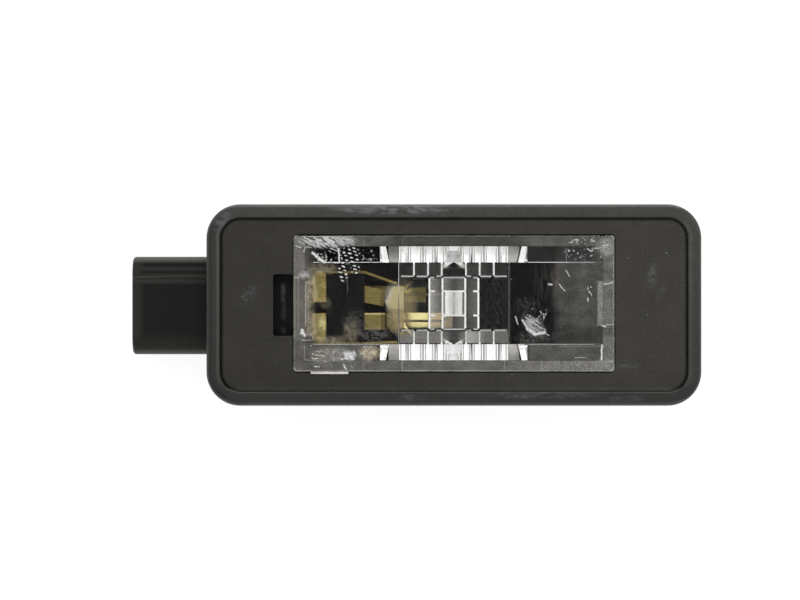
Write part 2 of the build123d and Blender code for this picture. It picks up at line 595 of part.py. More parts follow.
with BuildPart() as bulb_lead_wire_lower:
    with BuildLine():
        FilletPolyline(
            (FILAMENT_X, AXIS_Y - wire_y, BULB_Z),
            (wire_turn_x, AXIS_Y - wire_y, BULB_Z),
            (wire_turn_x, AXIS_Y - wire_y, BULB_Z - wire_face_z),
            (WEDGE_END_X + WIRE_TAIL, AXIS_Y - wire_y, BULB_Z - wire_face_z),
            radius=WIRE_BEND_R,
        )
    with BuildSketch(Plane((FILAMENT_X, AXIS_Y - wire_y, BULB_Z), (0, 1, 0), (-1, 0, 0))):
        Circle(WIRE_D / 2)
    sweep()
bulb_lead_wire_lower.part.label = "bulb_lead_wire_lower"
export_step(bulb_lead_wire_lower.part, "parts/bulb_lead_wire_lower.step")

# Filament: an arched bar between the ends of the lead wires
with BuildPart() as bulb_filament:
    with BuildLine():
        ThreePointArc(
            (FILAMENT_X, AXIS_Y - wire_y, BULB_Z),
            (FILAMENT_X + FILAMENT_RISE, AXIS_Y, BULB_Z),
            (FILAMENT_X, AXIS_Y + wire_y, BULB_Z),
        )
    with BuildSketch(Plane((FILAMENT_X, AXIS_Y - wire_y, BULB_Z), (0, 1, 0), (1, 0, 0))):
        Circle(FILAMENT_D / 2)
    sweep()
    add(bulb_lead_wire_upper.part, mode=Mode.SUBTRACT)
    add(bulb_lead_wire_lower.part, mode=Mode.SUBTRACT)
bulb_filament.part.label = "bulb_filament"
export_step(bulb_filament.part, "parts/bulb_filament.step")

# Bulb glass: a domed envelope pinched into a flat wedge round the lead wires
bulb_axis = Axis((0, AXIS_Y, BULB_Z), (1, 0, 0))
with BuildPart() as bulb_glass:
    with BuildSketch(Plane((0, AXIS_Y, BULB_Z))):
        with BuildLine():
            shoulder_y = BULB_D / 2 - BULB_SHOULDER_R
            shoulder_end = (SHOULDER_X + BULB_SHOULDER_R, BULB_D / 2)
            Line((SHOULDER_X, 0), (SHOULDER_X, shoulder_y))
            RadiusArc((SHOULDER_X, shoulder_y), shoulder_end, BULB_SHOULDER_R)
            Line(shoulder_end, (BULB_TIP_X - BULB_D / 2, BULB_D / 2))
            RadiusArc((BULB_TIP_X - BULB_D / 2, BULB_D / 2), (BULB_TIP_X, 0), BULB_D / 2)
            Line((BULB_TIP_X, 0), (SHOULDER_X, 0))
        make_face()
    revolve(axis=bulb_axis)
    with BuildSketch(Plane.YZ.offset(WEDGE_END_X)):
        with Locations((AXIS_Y, BULB_Z)):
            RectangleRounded(WEDGE_W, WEDGE_T, WEDGE_R)
    extrude(amount=WEDGE_LENGTH + BULB_SHOULDER_R)
    # Rounded solid neck where the wedge was pinched off
    with Locations((SHOULDER_X + NECK_INSET, AXIS_Y, BULB_Z)):
        Sphere(NECK_R)
    with BuildSketch(Plane((0, AXIS_Y, BULB_Z))):
        inner_r = BULB_D / 2 - GLASS_T
        shoulder_r = BULB_SHOULDER_R - GLASS_T
        inner_x = SHOULDER_X + GLASS_T
        with BuildLine():
            Line((inner_x, 0), (inner_x, inner_r - shoulder_r))
            RadiusArc((inner_x, inner_r - shoulder_r), (inner_x + shoulder_r, inner_r), shoulder_r)
            Line((inner_x + shoulder_r, inner_r), (BULB_TIP_X - BULB_D / 2, inner_r))
            RadiusArc((BULB_TIP_X - BULB_D / 2, inner_r), (BULB_TIP_X - GLASS_T, 0), inner_r)
            Line((BULB_TIP_X - GLASS_T, 0), (inner_x, 0))
        make_face()
    revolve(axis=bulb_axis, mode=Mode.SUBTRACT)
    add(bulb_lead_wire_upper.part, mode=Mode.SUBTRACT)
    add(bulb_lead_wire_lower.part, mode=Mode.SUBTRACT)
bulb_glass.part.label = "bulb_glass"
export_step(bulb_glass.part, "parts/bulb_glass.step")

# Contacts: blade, riser, pad and side strip with one finger on each face of the wedge
contact_names = ("contact_upper", "contact_lower")
contact_forms = zip(contact_names, (1, -1), FINGER_TWIST, STRIP_LEAN, FOOT_REACH, FOOT_ROLL)
for name, side, twist, lean, foot_reach, foot_roll in contact_forms:
    blade_y = AXIS_Y + side * BLADE_PITCH / 2
    strip_y = AXIS_Y + side * STRIP_Y
    with BuildPart() as contact:
        # Blade with a tapered tip
        with BuildSketch(Plane.XY.offset(CONNECTOR_Z - BLADE_T / 2)):
            with Locations(((BLADE_TIP_X + RISER_X) / 2, blade_y)):
                Rectangle(RISER_X - BLADE_TIP_X, BLADE_W)
        extrude(amount=BLADE_T)
        chamfer(contact.faces().sort_by(Axis.X)[0].edges(), BLADE_POINT)
        # Riser, pad and way through the holder from one bent strip
        with BuildSketch(Plane.XZ.offset(-blade_y)):
            with BuildLine():
                FilletPolyline(
                    (RISER_X, CONNECTOR_Z - BLADE_T / 2 + SHEET_T / 2),
                    (RISER_X, PAD_Z),
                    (PAD_END_X, PAD_Z),
                    (PAD_END_X + 2 * PAD_RISE, BULB_Z + FINGER_Z),
                    (HOLDER_RIGHT_X, BULB_Z + FINGER_Z),
                    radius=(PAD_BEND_R, BEND_R, BEND_R),
                )
            trace(line_width=SHEET_T)
        extrude(amount=FINGER_W / 2, both=True)
        # Rear finger, which drops in front of the holder, and the foot that it carries under the bulb
        drop_x = HOLDER_RIGHT_X + FINGER_REACH / 2
        with BuildSketch(Plane.XZ.offset(-blade_y)):
            with BuildLine():
                FilletPolyline(
                    (RISER_X, BULB_Z - FINGER_Z),
                    (HOLDER_RIGHT_X + SHEET_T, BULB_Z - FINGER_Z),
                    (drop_x, FOOT_Z),
                    (drop_x + SHEET_T, FOOT_Z),
                    radius=BEND_R,
                )
            trace(line_width=SHEET_T)
        extrude(amount=FINGER_W / 2, both=True)
        foot_plane = Plane((drop_x, blade_y, FOOT_Z)).rotated((foot_roll, 0, 0))
        with BuildSketch(foot_plane):
            with Locations(((HOLDER_RIGHT_X + foot_reach - drop_x) / 2, 0)):
                Rectangle(HOLDER_RIGHT_X + foot_reach - drop_x, FINGER_W)
        extrude(amount=SHEET_T / 2, both=True)
        # Front finger outside the holder, at its own twist
        finger_plane = Plane((HOLDER_RIGHT_X, blade_y, BULB_Z + FINGER_Z)).rotated((0, 0, twist))
        with BuildSketch(finger_plane * Plane.XZ):
            with BuildLine():
                FilletPolyline(
                    (-SHEET_T, 0),
                    (FINGER_REACH - 2 * FINGER_FLARE, 0),
                    (FINGER_REACH, FINGER_FLARE),
                    radius=BEND_R,
                )
            trace(line_width=SHEET_T)
        extrude(amount=FINGER_W / 2, both=True)
        # Rolled pad out to the side strip, and the strip on edge along the holder
        with BuildSketch(Plane.XZ.offset(-(blade_y + strip_y) / 2)):
            with BuildLine():
                FilletPolyline(
                    (RISER_X, PAD_Z - PAD_BEND_R - SHEET_T),
                    (RISER_X, PAD_Z),
                    (PAD_END_X, PAD_Z),
                    radius=PAD_BEND_R,
                )
            trace(line_width=SHEET_T)
        extrude(amount=(abs(strip_y - blade_y) + SHEET_T) / 2, both=True)
        with BuildSketch(Plane.XY.offset(PAD_Z + SHEET_T / 2)):
            with BuildLine():
                Polyline(
                    (RISER_X + PAD_BEND_R, strip_y),
                    (HOLDER_RIGHT_X, strip_y),
                    (HOLDER_RIGHT_X + STRIP_REACH, strip_y - side * lean),
                )
            trace(line_width=SHEET_T)
        extrude(amount=-STRIP_TIP_DEPTH)
        with BuildSketch(Plane.XY.offset(PAD_Z + SHEET_T / 2)):
            with Locations(((RISER_X + PAD_BEND_R + HOLDER_RIGHT_X) / 2, strip_y)):
                Rectangle(HOLDER_RIGHT_X - RISER_X - PAD_BEND_R, SHEET_T)
        extrude(amount=-STRIP_DEPTH)
    contact.part.label = name
    export_step(contact.part, f"parts/{name}.step")
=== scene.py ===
"""Number plate lamp, seen straight on from its lens side under soft studio light."""
from math import radians

import bmesh
import bpy
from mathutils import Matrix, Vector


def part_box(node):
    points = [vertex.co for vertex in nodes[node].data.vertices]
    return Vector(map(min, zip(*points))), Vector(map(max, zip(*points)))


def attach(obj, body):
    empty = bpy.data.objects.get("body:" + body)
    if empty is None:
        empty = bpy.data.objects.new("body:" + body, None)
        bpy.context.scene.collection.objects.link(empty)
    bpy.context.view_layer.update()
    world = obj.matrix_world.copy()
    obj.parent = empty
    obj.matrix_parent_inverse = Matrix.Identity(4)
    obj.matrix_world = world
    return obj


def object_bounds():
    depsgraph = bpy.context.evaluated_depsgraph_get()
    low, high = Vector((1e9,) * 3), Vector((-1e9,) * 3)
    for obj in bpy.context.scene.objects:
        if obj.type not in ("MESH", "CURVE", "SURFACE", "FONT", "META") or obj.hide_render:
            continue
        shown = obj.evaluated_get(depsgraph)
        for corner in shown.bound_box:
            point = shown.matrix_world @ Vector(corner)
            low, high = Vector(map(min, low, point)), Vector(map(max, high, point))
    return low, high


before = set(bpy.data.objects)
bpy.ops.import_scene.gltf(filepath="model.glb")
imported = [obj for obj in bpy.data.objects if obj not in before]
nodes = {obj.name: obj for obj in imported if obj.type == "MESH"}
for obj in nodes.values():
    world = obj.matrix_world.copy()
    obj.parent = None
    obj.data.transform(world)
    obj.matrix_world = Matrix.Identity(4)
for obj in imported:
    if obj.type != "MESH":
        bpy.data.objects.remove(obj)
cad_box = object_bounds()
scene = bpy.context.scene
scene.view_settings.view_transform = "Standard"

# Lengths in materials and marks are millimetres, and the scene is in metres
MM = 0.001

# Places read from the frame
lens_high = [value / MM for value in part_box("lens")[1]]
seal_high = [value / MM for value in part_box("seal")[1]]
bulb_low, bulb_high = ([value / MM for value in corner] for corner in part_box("bulb_glass"))
FACE_Z = lens_high[2]
SEAL_HALF_L, SEAL_HALF_W, SEAL_TOP_Z = seal_high
BULB_Y = (bulb_low[1] + bulb_high[1]) / 2
BULB_Z = (bulb_low[2] + bulb_high[2]) / 2

# Lens: its plate, rails, frame, grid of ribs and tab, and the gate lug on its lower edge
LENS_HALF_L = 26.0
LENS_HALF_W = 11.05
LENS_MIDDLE_Y = lens_high[1] - LENS_HALF_W
LENS_CORNER_R = 0.8
RAIL_INNER_Y = 6.63
RAIL_OUTER_Y = 9.23
RAIL_END_X = 24.05
RAIL_CORNER_R = 1.2
FRAME_HALF_L = 3.98
FRAME_HALF_W = 4.19
GRID_HALF_L = 8.7
GRID_RIBS = (1.97, 4.19, 6.48)
CLOSING_RIB_X = 8.95
FLUTE_GAPS = (1.22, 3.02, 4.95, 7.42)
TAB_X = 23.2
TAB_HALF_W = 3.65
TAB_SIDE_W = 0.85
LUG_X = -20.15
LUG_HALF_L = 3.05
LUG_REACH = 0.4
LUG_SLANT = 1.7

# Finish sheets over the lens: where they end, and how far they lie above it
SHEET_MARGIN = 0.2
MIDDLE_SHEET_HALF_L = 11.2
SCUFFS_NEAR_END_X = -8.0
SCUFFS_FAR_START_X = 8.0
HAZE_LIFT = 0.012
MIDDLE_LIFT = 0.016
SCUFFS_LIFT = 0.02

# Seal
SEAL_CORNER_R = 5.5
SEAL_RIM_W = 2.3

# Pinched neck of the bulb, and the cap of bloom over it
NECK_X = -8.0
NECK_R = 3.4
NECK_CAP = (3.8, 4.9, 1.1)
NECK_CUT_X = -0.12

# Floor and camera, with the photograph's scale and the place of its middle from the origin in pixels
FLOOR_SIZE = 4.0
FLOOR_GAP = 0.5
FLOOR_GLOW = 0.86
PIXELS_PER_METRE = 6175.0
PICTURE_WIDTH = 800.0
PICTURE_MIDDLE = (-54.0, 5.0)
CAMERA_HEIGHT = 0.48


# Node helpers
def plug(value, socket):
    """Link a socket, or set the plain value of another."""
    if isinstance(value, bpy.types.NodeSocket):
        socket.id_data.links.new(value, socket)
    else:
        socket.default_value = value


def new_node(kind, *values):
    """A node in the tree of the first socket among the values."""
    socket = next(value for value in values if isinstance(value, bpy.types.NodeSocket))
    return socket.id_data.nodes.new(kind)


def math(operation, *values, clamp=False):
    node = new_node("ShaderNodeMath", *values)
    node.operation = operation
    node.use_clamp = clamp
    for value, socket in zip(values, node.inputs):
        plug(value, socket)
    return node.outputs[0]


def product(*values):
    total = values[0]
    for value in values[1:]:
        total = math("MULTIPLY", total, value)
    return total


def most(*values):
    """The largest of several masks."""
    total = values[0]
    for value in values[1:]:
        total = math("MAXIMUM", total, value)
    return total


def share_of(part, rest):
    """How much of two covers together the first one is."""
    total = math("ADD", math("ADD", rest, part), 0.001)
    return math("DIVIDE", part, total)


def vector(operation, *values):
    node = new_node("ShaderNodeVectorMath", *values)
    node.operation = operation
    for value, socket in zip(values, node.inputs):
        plug(value, socket)
    return node.outputs["Value" if operation in ("LENGTH", "DOT_PRODUCT") else "Vector"]


def enlarge(value, factor):
    node = new_node("ShaderNodeVectorMath", value)
    node.operation = "SCALE"
    plug(value, node.inputs["Vector"])
    plug(factor, node.inputs["Scale"])
    return node.outputs["Vector"]


def split(value):
    node = new_node("ShaderNodeSeparateXYZ", value)
    plug(value, node.inputs["Vector"])
    return node.outputs["X"], node.outputs["Y"], node.outputs["Z"]


def join(x, y, z):
    node = new_node("ShaderNodeCombineXYZ", x, y, z)
    for value, socket in zip((x, y, z), node.inputs):
        plug(value, socket)
    return node.outputs["Vector"]


def step(value, low, high, start=0.0, end=1.0):
    """A smooth rise from start at low to end at high."""
    node = new_node("ShaderNodeMapRange", value)
    node.interpolation_type = "SMOOTHSTEP"
    given = {"Value": value, "From Min": low, "From Max": high, "To Min": start, "To Max": end}
    for name, setting in given.items():
        plug(setting, node.inputs[name])
    return node.outputs["Result"]


def band(value, low, high, soft):
    """One between low and high, fading over soft at both ends."""
    rise = step(value, low - soft, low + soft)
    return product(rise, step(value, high + soft, high - soft))


def about(value, middle, half, soft):
    """One within half of the middle, fading over soft at both ends."""
    return band(value, middle - half, middle + half, soft)


def turn(value, angle):
    """Turn a position about Z."""
    node = new_node("ShaderNodeVectorRotate", value)
    node.rotation_type = "Z_AXIS"
    plug(value, node.inputs["Vector"])
    plug(angle, node.inputs["Angle"])
    return node.outputs["Vector"]


def noise(position, scale, detail=2.0, output="Fac"):
    node = new_node("ShaderNodeTexNoise", position)
    plug(position, node.inputs["Vector"])
    plug(scale, node.inputs["Scale"])
    node.inputs["Detail"].default_value = detail
    return node.outputs[output]


def blend(share, first, second):
    """Mix two colours."""
    node = new_node("ShaderNodeMix", share)
    node.data_type = "RGBA"
    for value, socket in zip((share, first, second), (node.inputs[0], node.inputs[6], node.inputs[7])):
        plug(value, socket)
    return node.outputs[2]


def bump(height, distance, shader, strength=1.0):
    node = new_node("ShaderNodeBump", height)
    node.inputs["Strength"].default_value = strength
    node.inputs["Distance"].default_value = distance * MM
    plug(height, node.inputs["Height"])
    plug(node.outputs["Normal"], shader.inputs["Normal"])


def position_mm(shader):
    """Places on the object in millimetres, for a surface."""
    coords = shader.id_data.nodes.new("ShaderNodeTexCoord")
    return enlarge(coords.outputs["Object"], 1 / MM)


def grey(level, tint=(1.0, 1.0, 1.0)):
    return tuple(level * share for share in tint) + (1.0,)


# Tints of grey for the plastic and the rubber
WARM = (1.04, 1.0, 0.86)
COOL = (0.95, 0.98, 1.06)
PALE = (1.0, 0.99, 0.94)

# White scatter on the lens, its thin haze, which is a little warmer, and brown smears
SCATTER = 0.93
HAZE = grey(SCATTER, (1.0, 0.98, 0.93))
HAZE_NEAR_BRASS = grey(SCATTER, (1.0, 0.93, 0.8))
BROWN = (0.82, 0.71, 0.51, 1)

# Tones of the brass, with a painted highlight and a painted shade
BRASS = (0.74, 0.58, 0.20, 1)
BRASS_DULL = (0.40, 0.31, 0.10, 1)
BRASS_ROLLED = (0.86, 0.72, 0.32, 1)
BRASS_HIGHLIGHT = (0.98, 0.85, 0.40, 1)
BRASS_BROWN = (0.56, 0.42, 0.18, 1)
BRASS_SHADE = (0.06, 0.05, 0.02, 1)

# Sockets of node groups, and the factors that flatten a position
KINDS = {"vector": "NodeSocketVector", "value": "NodeSocketFloat"}
FLAT = (1, 1, 0)


# Node groups
def new_group(name, inputs, outputs):
    """An empty node group with named sockets; gives the group, its inputs and its outputs."""
    group = bpy.data.node_groups.new(name, "ShaderNodeTree")
    for socket_name, kind in inputs.items():
        group.interface.new_socket(socket_name, in_out="INPUT", socket_type=KINDS[kind])
    for socket_name in outputs:
        group.interface.new_socket(socket_name, in_out="OUTPUT", socket_type=KINDS["value"])
    given = group.nodes.new("NodeGroupInput").outputs
    made = group.nodes.new("NodeGroupOutput").inputs
    return group, given, made


def place(group, output, **values):
    """Use a node group in a material; socket names are given with _ for each space."""
    node = new_node("ShaderNodeGroup", *values.values())
    node.node_tree = group
    for name, value in values.items():
        plug(value, node.inputs[name.replace("_", " ")])
    return node.outputs[output]


def new_grain_group():
    """Moulded grain: a fine height, and a tone round one for colour."""
    inputs = {"Position": "vector", "Pitch": "value"}
    group, given, made = new_group("moulded grain", inputs, ("Height", "Tone"))
    fine = noise(given["Position"], given["Pitch"], 3.0)
    broad = noise(given["Position"], math("MULTIPLY", given["Pitch"], 0.09), 2.0)
    plug(fine, made["Height"])
    tone = math("MULTIPLY_ADD", fine, 0.9, 0.32)
    plug(math("MULTIPLY_ADD", broad, 0.45, tone), made["Tone"])
    return group


def new_outline_group():
    """Distance from a rounded rectangle's outline, negative inside it."""
    inputs = {"Position": "vector", "Half Size": "vector", "Corner": "value"}
    group, given, made = new_group("outline distance", inputs, ("Distance",))
    flat = vector("MULTIPLY", given["Position"], FLAT)
    reach = vector("SUBTRACT", vector("ABSOLUTE", flat), given["Half Size"])
    reach_x, reach_y = (math("ADD", part, given["Corner"]) for part in split(reach)[:2])
    past_x, past_y = (math("MAXIMUM", part, 0.0) for part in (reach_x, reach_y))
    within = math("MINIMUM", math("MAXIMUM", reach_x, reach_y), 0.0)
    distance = math("ADD", vector("LENGTH", join(past_x, past_y, 0.0)), within)
    plug(math("SUBTRACT", distance, given["Corner"]), made["Distance"])
    return group


def new_patch_group():
    """Soft patch: an ellipse that fades towards its edge."""
    inputs = {"Position": "vector", "Centre": "vector", "Half Size": "vector", "Turn": "value"}
    group, given, made = new_group("soft patch", inputs, ("Mask",))
    offset = vector("SUBTRACT", given["Position"], given["Centre"])
    offset = turn(vector("MULTIPLY", offset, FLAT), given["Turn"])
    share = vector("LENGTH", vector("DIVIDE", offset, given["Half Size"]))
    plug(step(share, 1.0, 0.35), made["Mask"])
    return group


def new_stroke_group():
    """Stroke: a short straight mark with soft edges."""
    inputs = {"Position": "vector", "Start": "vector", "End": "vector", "Width": "value"}
    group, given, made = new_group("stroke", inputs, ("Mask",))
    flat = vector("MULTIPLY", given["Position"], FLAT)
    offset = vector("SUBTRACT", flat, given["Start"])
    run = vector("SUBTRACT", given["End"], given["Start"])
    reach = vector("DOT_PRODUCT", offset, run)
    along = math("DIVIDE", reach, vector("DOT_PRODUCT", run, run), clamp=True)
    away = vector("SUBTRACT", offset, enlarge(run, along))
    half = math("MULTIPLY", given["Width"], 0.5)
    plug(step(vector("LENGTH", away), half, 0.0), made["Mask"])
    return group


def new_streak_group():
    """Streaks: long thin marks along one direction."""
    inputs = {"Position": "vector", "Turn": "value", "Pitch": "value", "Stretch": "value", "Cut": "value"}
    group, given, made = new_group("streaks", inputs, ("Mask",))
    x, y, z = split(turn(given["Position"], given["Turn"]))
    drawn = join(math("DIVIDE", x, given["Stretch"]), y, z)
    height = noise(drawn, given["Pitch"], 1.0)
    top = math("ADD", given["Cut"], 0.07)
    plug(step(height, given["Cut"], top), made["Mask"])
    return group


def new_speck_group():
    """Specks: scattered small dots."""
    inputs = {"Position": "vector", "Pitch": "value", "Share": "value", "Size": "value"}
    group, given, made = new_group("specks", inputs, ("Mask",))
    cells = group.nodes.new("ShaderNodeTexVoronoi")
    cells.voronoi_dimensions = "2D"
    plug(given["Position"], cells.inputs["Vector"])
    plug(given["Pitch"], cells.inputs["Scale"])
    chance, size_draw = split(cells.outputs["Color"])[:2]
    kept = math("LESS_THAN", chance, given["Share"])
    size = math("MULTIPLY", given["Size"], math("ADD", size_draw, 0.3))
    dot = step(cells.outputs["Distance"], size, math("MULTIPLY", size, 0.4))
    plug(math("MULTIPLY", dot, kept), made["Mask"])
    return group


grain_group = new_grain_group()
outline_group = new_outline_group()
patch_group = new_patch_group()
stroke_group = new_stroke_group()
streak_group = new_streak_group()
speck_group = new_speck_group()


def outline(position, half_l, half_w, corner):
    size = (half_l, half_w, 0)
    return place(outline_group, "Distance", Position=position, Half_Size=size, Corner=corner)


def patch(position, middle, half, cover=1.0, angle=0.0):
    mask = place(
        patch_group, "Mask",
        Position=position, Centre=(*middle, 0), Half_Size=(*half, 1), Turn=radians(angle),
    )
    return product(mask, cover)


def patches(position, spots):
    """The strongest of several patches, each given by its middle, half size, cover and angle."""
    mask = 0.0
    for spot in spots:
        mask = most(mask, patch(position, *spot))
    return mask


def stroke(position, start, end, width):
    return place(stroke_group, "Mask", Position=position, Start=(*start, 0), End=(*end, 0), Width=width)


def streaks(position, angle, pitch, stretch, cut):
    return place(
        streak_group, "Mask",
        Position=position, Turn=radians(angle), Pitch=pitch, Stretch=stretch, Cut=cut,
    )


def specks(position, pitch, share, size):
    return place(speck_group, "Mask", Position=position, Pitch=pitch, Share=share, Size=size)


def drawn_out(position, angle, stretch):
    """Turn a position and shorten it along its run, so that round marks become long ones."""
    x, y, z = split(turn(position, radians(angle)))
    return join(math("DIVIDE", x, stretch), y, z)


def shaken(position, scale, reach):
    """Shift a position by noise, so that marks drawn on it get uneven edges."""
    wobble = vector("SUBTRACT", noise(position, scale, 2.0, "Color"), (0.5, 0.5, 0.5))
    return vector("ADD", position, enlarge(wobble, reach))


def dash_rows(position, angle, pitch, gap):
    """Rows of short dashes, each row shifted along the one before it."""
    x, y = split(turn(position, radians(angle)))[:2]
    row = math("DIVIDE", y, gap)
    shift = math("MULTIPLY", math("FLOOR", row), 0.37)
    along = math("FRACT", math("ADD", math("DIVIDE", x, pitch), shift))
    across = math("FRACT", row)
    return product(band(along, 0.2, 0.72, 0.1), band(across, 0.36, 0.68, 0.14))


# Materials
def new_material(name):
    """An empty material with a Principled surface; gives the material and the shader node."""
    material = bpy.data.materials.new(name)
    material.use_nodes = True
    return material, material.node_tree.nodes["Principled BSDF"]


# Pale rubs on the face plate and the seal: middle, half size, cover and angle
PLATE_RUBS = (
    ((-33.2, 1.7), (2.8, 1.3), 1.0, -45.0),
    ((32.1, 4.8), (1.2, 2.6), 1.0, 11.5),
    ((33.4, 1.8), (0.9, 2.6), 0.5, 23.0),
    ((28.4, -9.9), (2.6, 0.6), 0.7),
)
SEAL_RUBS = (
    ((-9.8, 15.6), (13.0, 1.1)),
    ((-6.6, -15.0), (3.4, 0.7), 0.5),
    ((13.6, -14.6), (12.0, 0.8), 0.5),
    ((27.6, -15.3), (4.0, 0.8), 0.6),
    ((-37.6, 13.6), (1.6, 2.6), 0.5, 40.0),
)

# Middles of the front pads, kept clear of the painted shade on their corners: middle and half size
FRONT_PADS = (((-21.9, 2.6), (2.2, 3.6)), ((-21.9, -3.3), (2.2, 3.4)))

# Fine seams in the face plate below the pry slot: start and end
PLATE_SEAMS = (((-31.3, -6.1), (-29.1, -5.2)), ((-29.1, -5.2), (-26.9, -6.0)))


def black_plastic():
    """Grained on the face, smoother below it and painted darker there as shade, with a few pale rubs and
    specks.
    """
    material, shader = new_material("black moulded plastic")
    position = position_mm(shader)
    x, y, z = split(position)
    tone = place(grain_group, "Tone", Position=position, Pitch=2.6)
    height = place(grain_group, "Height", Position=position, Pitch=4.0)
    face = step(z, FACE_Z - 1.6, FACE_Z - 0.5)
    # Below the face, in the chamber and on the connector, the plastic is painted much darker as painted
    # shade
    colour = blend(face, grey(0.0036, (1.0, 1.0, 0.92)), grey(0.036, (1.03, 0.975, 0.85)))
    # The lower side of the plate catches light where it falls away beside the seal
    low_groove = product(step(y, -13.3, -13.85), step(z, FACE_Z - 2.4, FACE_Z - 1.8))
    colour = blend(low_groove, colour, grey(0.095, PALE))
    colour = connector_painted_sheen(position, colour)
    colour = slot_streak(position, colour)
    colour = face_wear(position, face, colour)
    # Painted light makes the plate a little paler towards the far end, and painted shade makes it darker
    # along its lower edge
    tone = product(tone, step(x, -36.0, 38.0, 0.93, 1.3), step(y, -9.0, -12.5, 1.0, 0.88))
    plug(enlarge(colour, tone), shader.inputs["Base Color"])
    rough = math("MULTIPLY_ADD", face, 0.14, 0.44)
    plug(math("MULTIPLY_ADD", tone, 0.06, rough), shader.inputs["Roughness"])
    shader.inputs["Specular IOR Level"].default_value = 0.19
    bump(height, 0.02, shader, 0.5)
    return material


def connector_painted_sheen(position, colour):
    """The connector is drawn along its length, with painted highlights in two stripes, at its end and on
    both edges.
    """
    x, y, z = split(position)
    on_top = product(step(x, -39.0, -41.0), step(z, -7.0, -5.8))
    drawn = streaks(position, 0.0, 1.3, 14.0, 0.42)
    stripes = most(
        product(band(y, 5.6, 6.2, 0.2), 0.5),
        product(band(y, 3.6, 5.0, 0.4), math("MULTIPLY_ADD", drawn, 0.5, 0.5)),
        step(x, -50.4, -52.0, 0.0, 0.5),
        step(y, -4.4, -7.2, 0.0, 0.8),
    )
    # Painted highlights in the two stripes and at the end
    colour = blend(product(on_top, stripes), colour, grey(0.04, WARM))
    # Painted highlights on the upper and lower edges
    upper_edge_highlight = product(on_top, step(y, 6.7, 7.7))
    colour = blend(upper_edge_highlight, colour, grey(0.125, WARM))
    low_edge_highlight = product(on_top, step(y, -7.0, -8.0))
    return blend(low_edge_highlight, colour, grey(0.09, (1.02, 1.0, 0.93)))


def slot_streak(position, colour):
    """A pale smudged streak inside the pry slot."""
    x, y, z = split(position)
    streak = product(band(x, -28.2, -27.5, 0.2), band(y, -4.6, 3.4, 0.4))
    smudged = step(noise(position, 0.45, 1.0), 0.35, 0.65)
    streak = product(streak, step(z, FACE_Z - 0.8, FACE_Z - 1.6), smudged)
    return blend(streak, colour, grey(0.11, (1.0, 1.0, 0.95)))


def face_wear(position, face, colour):
    """Pale rubs, specks and fine seams on the face."""
    worn = step(noise(position, 1.5, 4.0), 0.34, 0.74)
    rub = product(patches(position, PLATE_RUBS), worn, face, 0.5)
    colour = blend(rub, colour, grey(0.10, COOL))
    speck = product(specks(position, 0.32, 0.06, 0.06), face, 0.36)
    colour = blend(speck, colour, grey(0.3))
    seams = most(*(stroke(position, start, end, 0.3) for start, end in PLATE_SEAMS))
    return blend(product(seams, face, 0.6), colour, grey(0.012))


def seal_rubber():
    """Satin rubber, with painted highlights on the inner lip and the outer edge, painted shade on the near
    side, and rubs on the rim.
    """
    material, shader = new_material("seal rubber")
    position = position_mm(shader)
    x, y, z = split(position)
    tone = place(grain_group, "Tone", Position=position, Pitch=1.6)
    height = place(grain_group, "Height", Position=position, Pitch=3.2)
    edge = outline(position, SEAL_HALF_L, SEAL_HALF_W, SEAL_CORNER_R)
    # The painted highlight on the lip is at the two ends only
    lip = band(edge, 0.15 - SEAL_RIM_W, 0.75 - SEAL_RIM_W, 0.15)
    lip = product(lip, step(math("ABSOLUTE", y), 14.5, 12.5, 0.1, 1.0))
    # Painted highlights on the lip and the outer edge
    pale = product(most(lip, step(edge, -0.6, -0.05)), 0.8)
    # Painted shade: the rubber is darker on the near side
    shaded_near_side = step(x, -35.0, -38.0)
    base = blend(shaded_near_side, grey(0.028, (1.02, 1.0, 0.88)), grey(0.016, (1.02, 1.0, 0.9)))
    colour = blend(pale, base, grey(0.05, (1.02, 1.0, 0.92)))
    # Painted shade in a crease on the near side
    crease_shade = product(shaded_near_side, band(edge, -1.62, -1.48, 0.08), 0.7)
    colour = blend(crease_shade, colour, grey(0.008))
    colour = seal_edges(edge, y, z, colour)
    worn = step(noise(drawn_out(position, 3.0, 2.4), 1.6, 4.0), 0.34, 0.7)
    rub = product(patches(position, SEAL_RUBS), worn, 0.75)
    colour = blend(rub, colour, grey(0.16, COOL))
    # Painted light: the rubber is paler towards the upper side and darker towards the lower
    tone = product(tone, step(y, -16.0, 16.0, 0.82, 1.4))
    plug(enlarge(colour, tone), shader.inputs["Base Color"])
    plug(math("MULTIPLY_ADD", tone, 0.1, 0.42), shader.inputs["Roughness"])
    shader.inputs["Specular IOR Level"].default_value = 0.4
    bump(height, 0.015, shader, 0.4)
    return material


def seal_edges(edge, y, z, colour):
    """Painted light on the upper and lower edges and on the lower lip, with painted shade on a dark stretch
    beside that lip.
    """
    upper_half = step(z, SEAL_TOP_Z - 2.0, SEAL_TOP_Z - 1.4)
    top_edge = product(step(edge, -0.7, -0.05), step(y, 15.2, 16.2), upper_half)
    colour = blend(top_edge, colour, grey(0.13, (1.02, 0.99, 0.9)))
    low_edge_highlight = product(step(edge, -1.0, -0.05), step(y, -14.6, -15.6), upper_half)
    colour = blend(low_edge_highlight, colour, grey(0.09, (1.0, 1.0, 0.98)))
    # Painted shade beside the lower lip
    low_inner_shade = product(step(edge, -0.9, -1.4), step(y, -12.5, -13.5), 0.6)
    colour = blend(low_inner_shade, colour, grey(0.008))
    low_lip = step(edge, 0.2 - SEAL_RIM_W, 0.08 - SEAL_RIM_W)
    return blend(product(low_lip, step(y, -13.2, -13.8)), colour, grey(0.12, PALE))


def clear_material(name, colour, refraction):
    """Smooth see-through plastic or glass."""
    material, shader = new_material(name)
    shader.inputs["Base Color"].default_value = colour
    shader.inputs["Roughness"].default_value = 0.0
    shader.inputs["IOR"].default_value = refraction
    shader.inputs["Transmission Weight"].default_value = 1.0
    return material


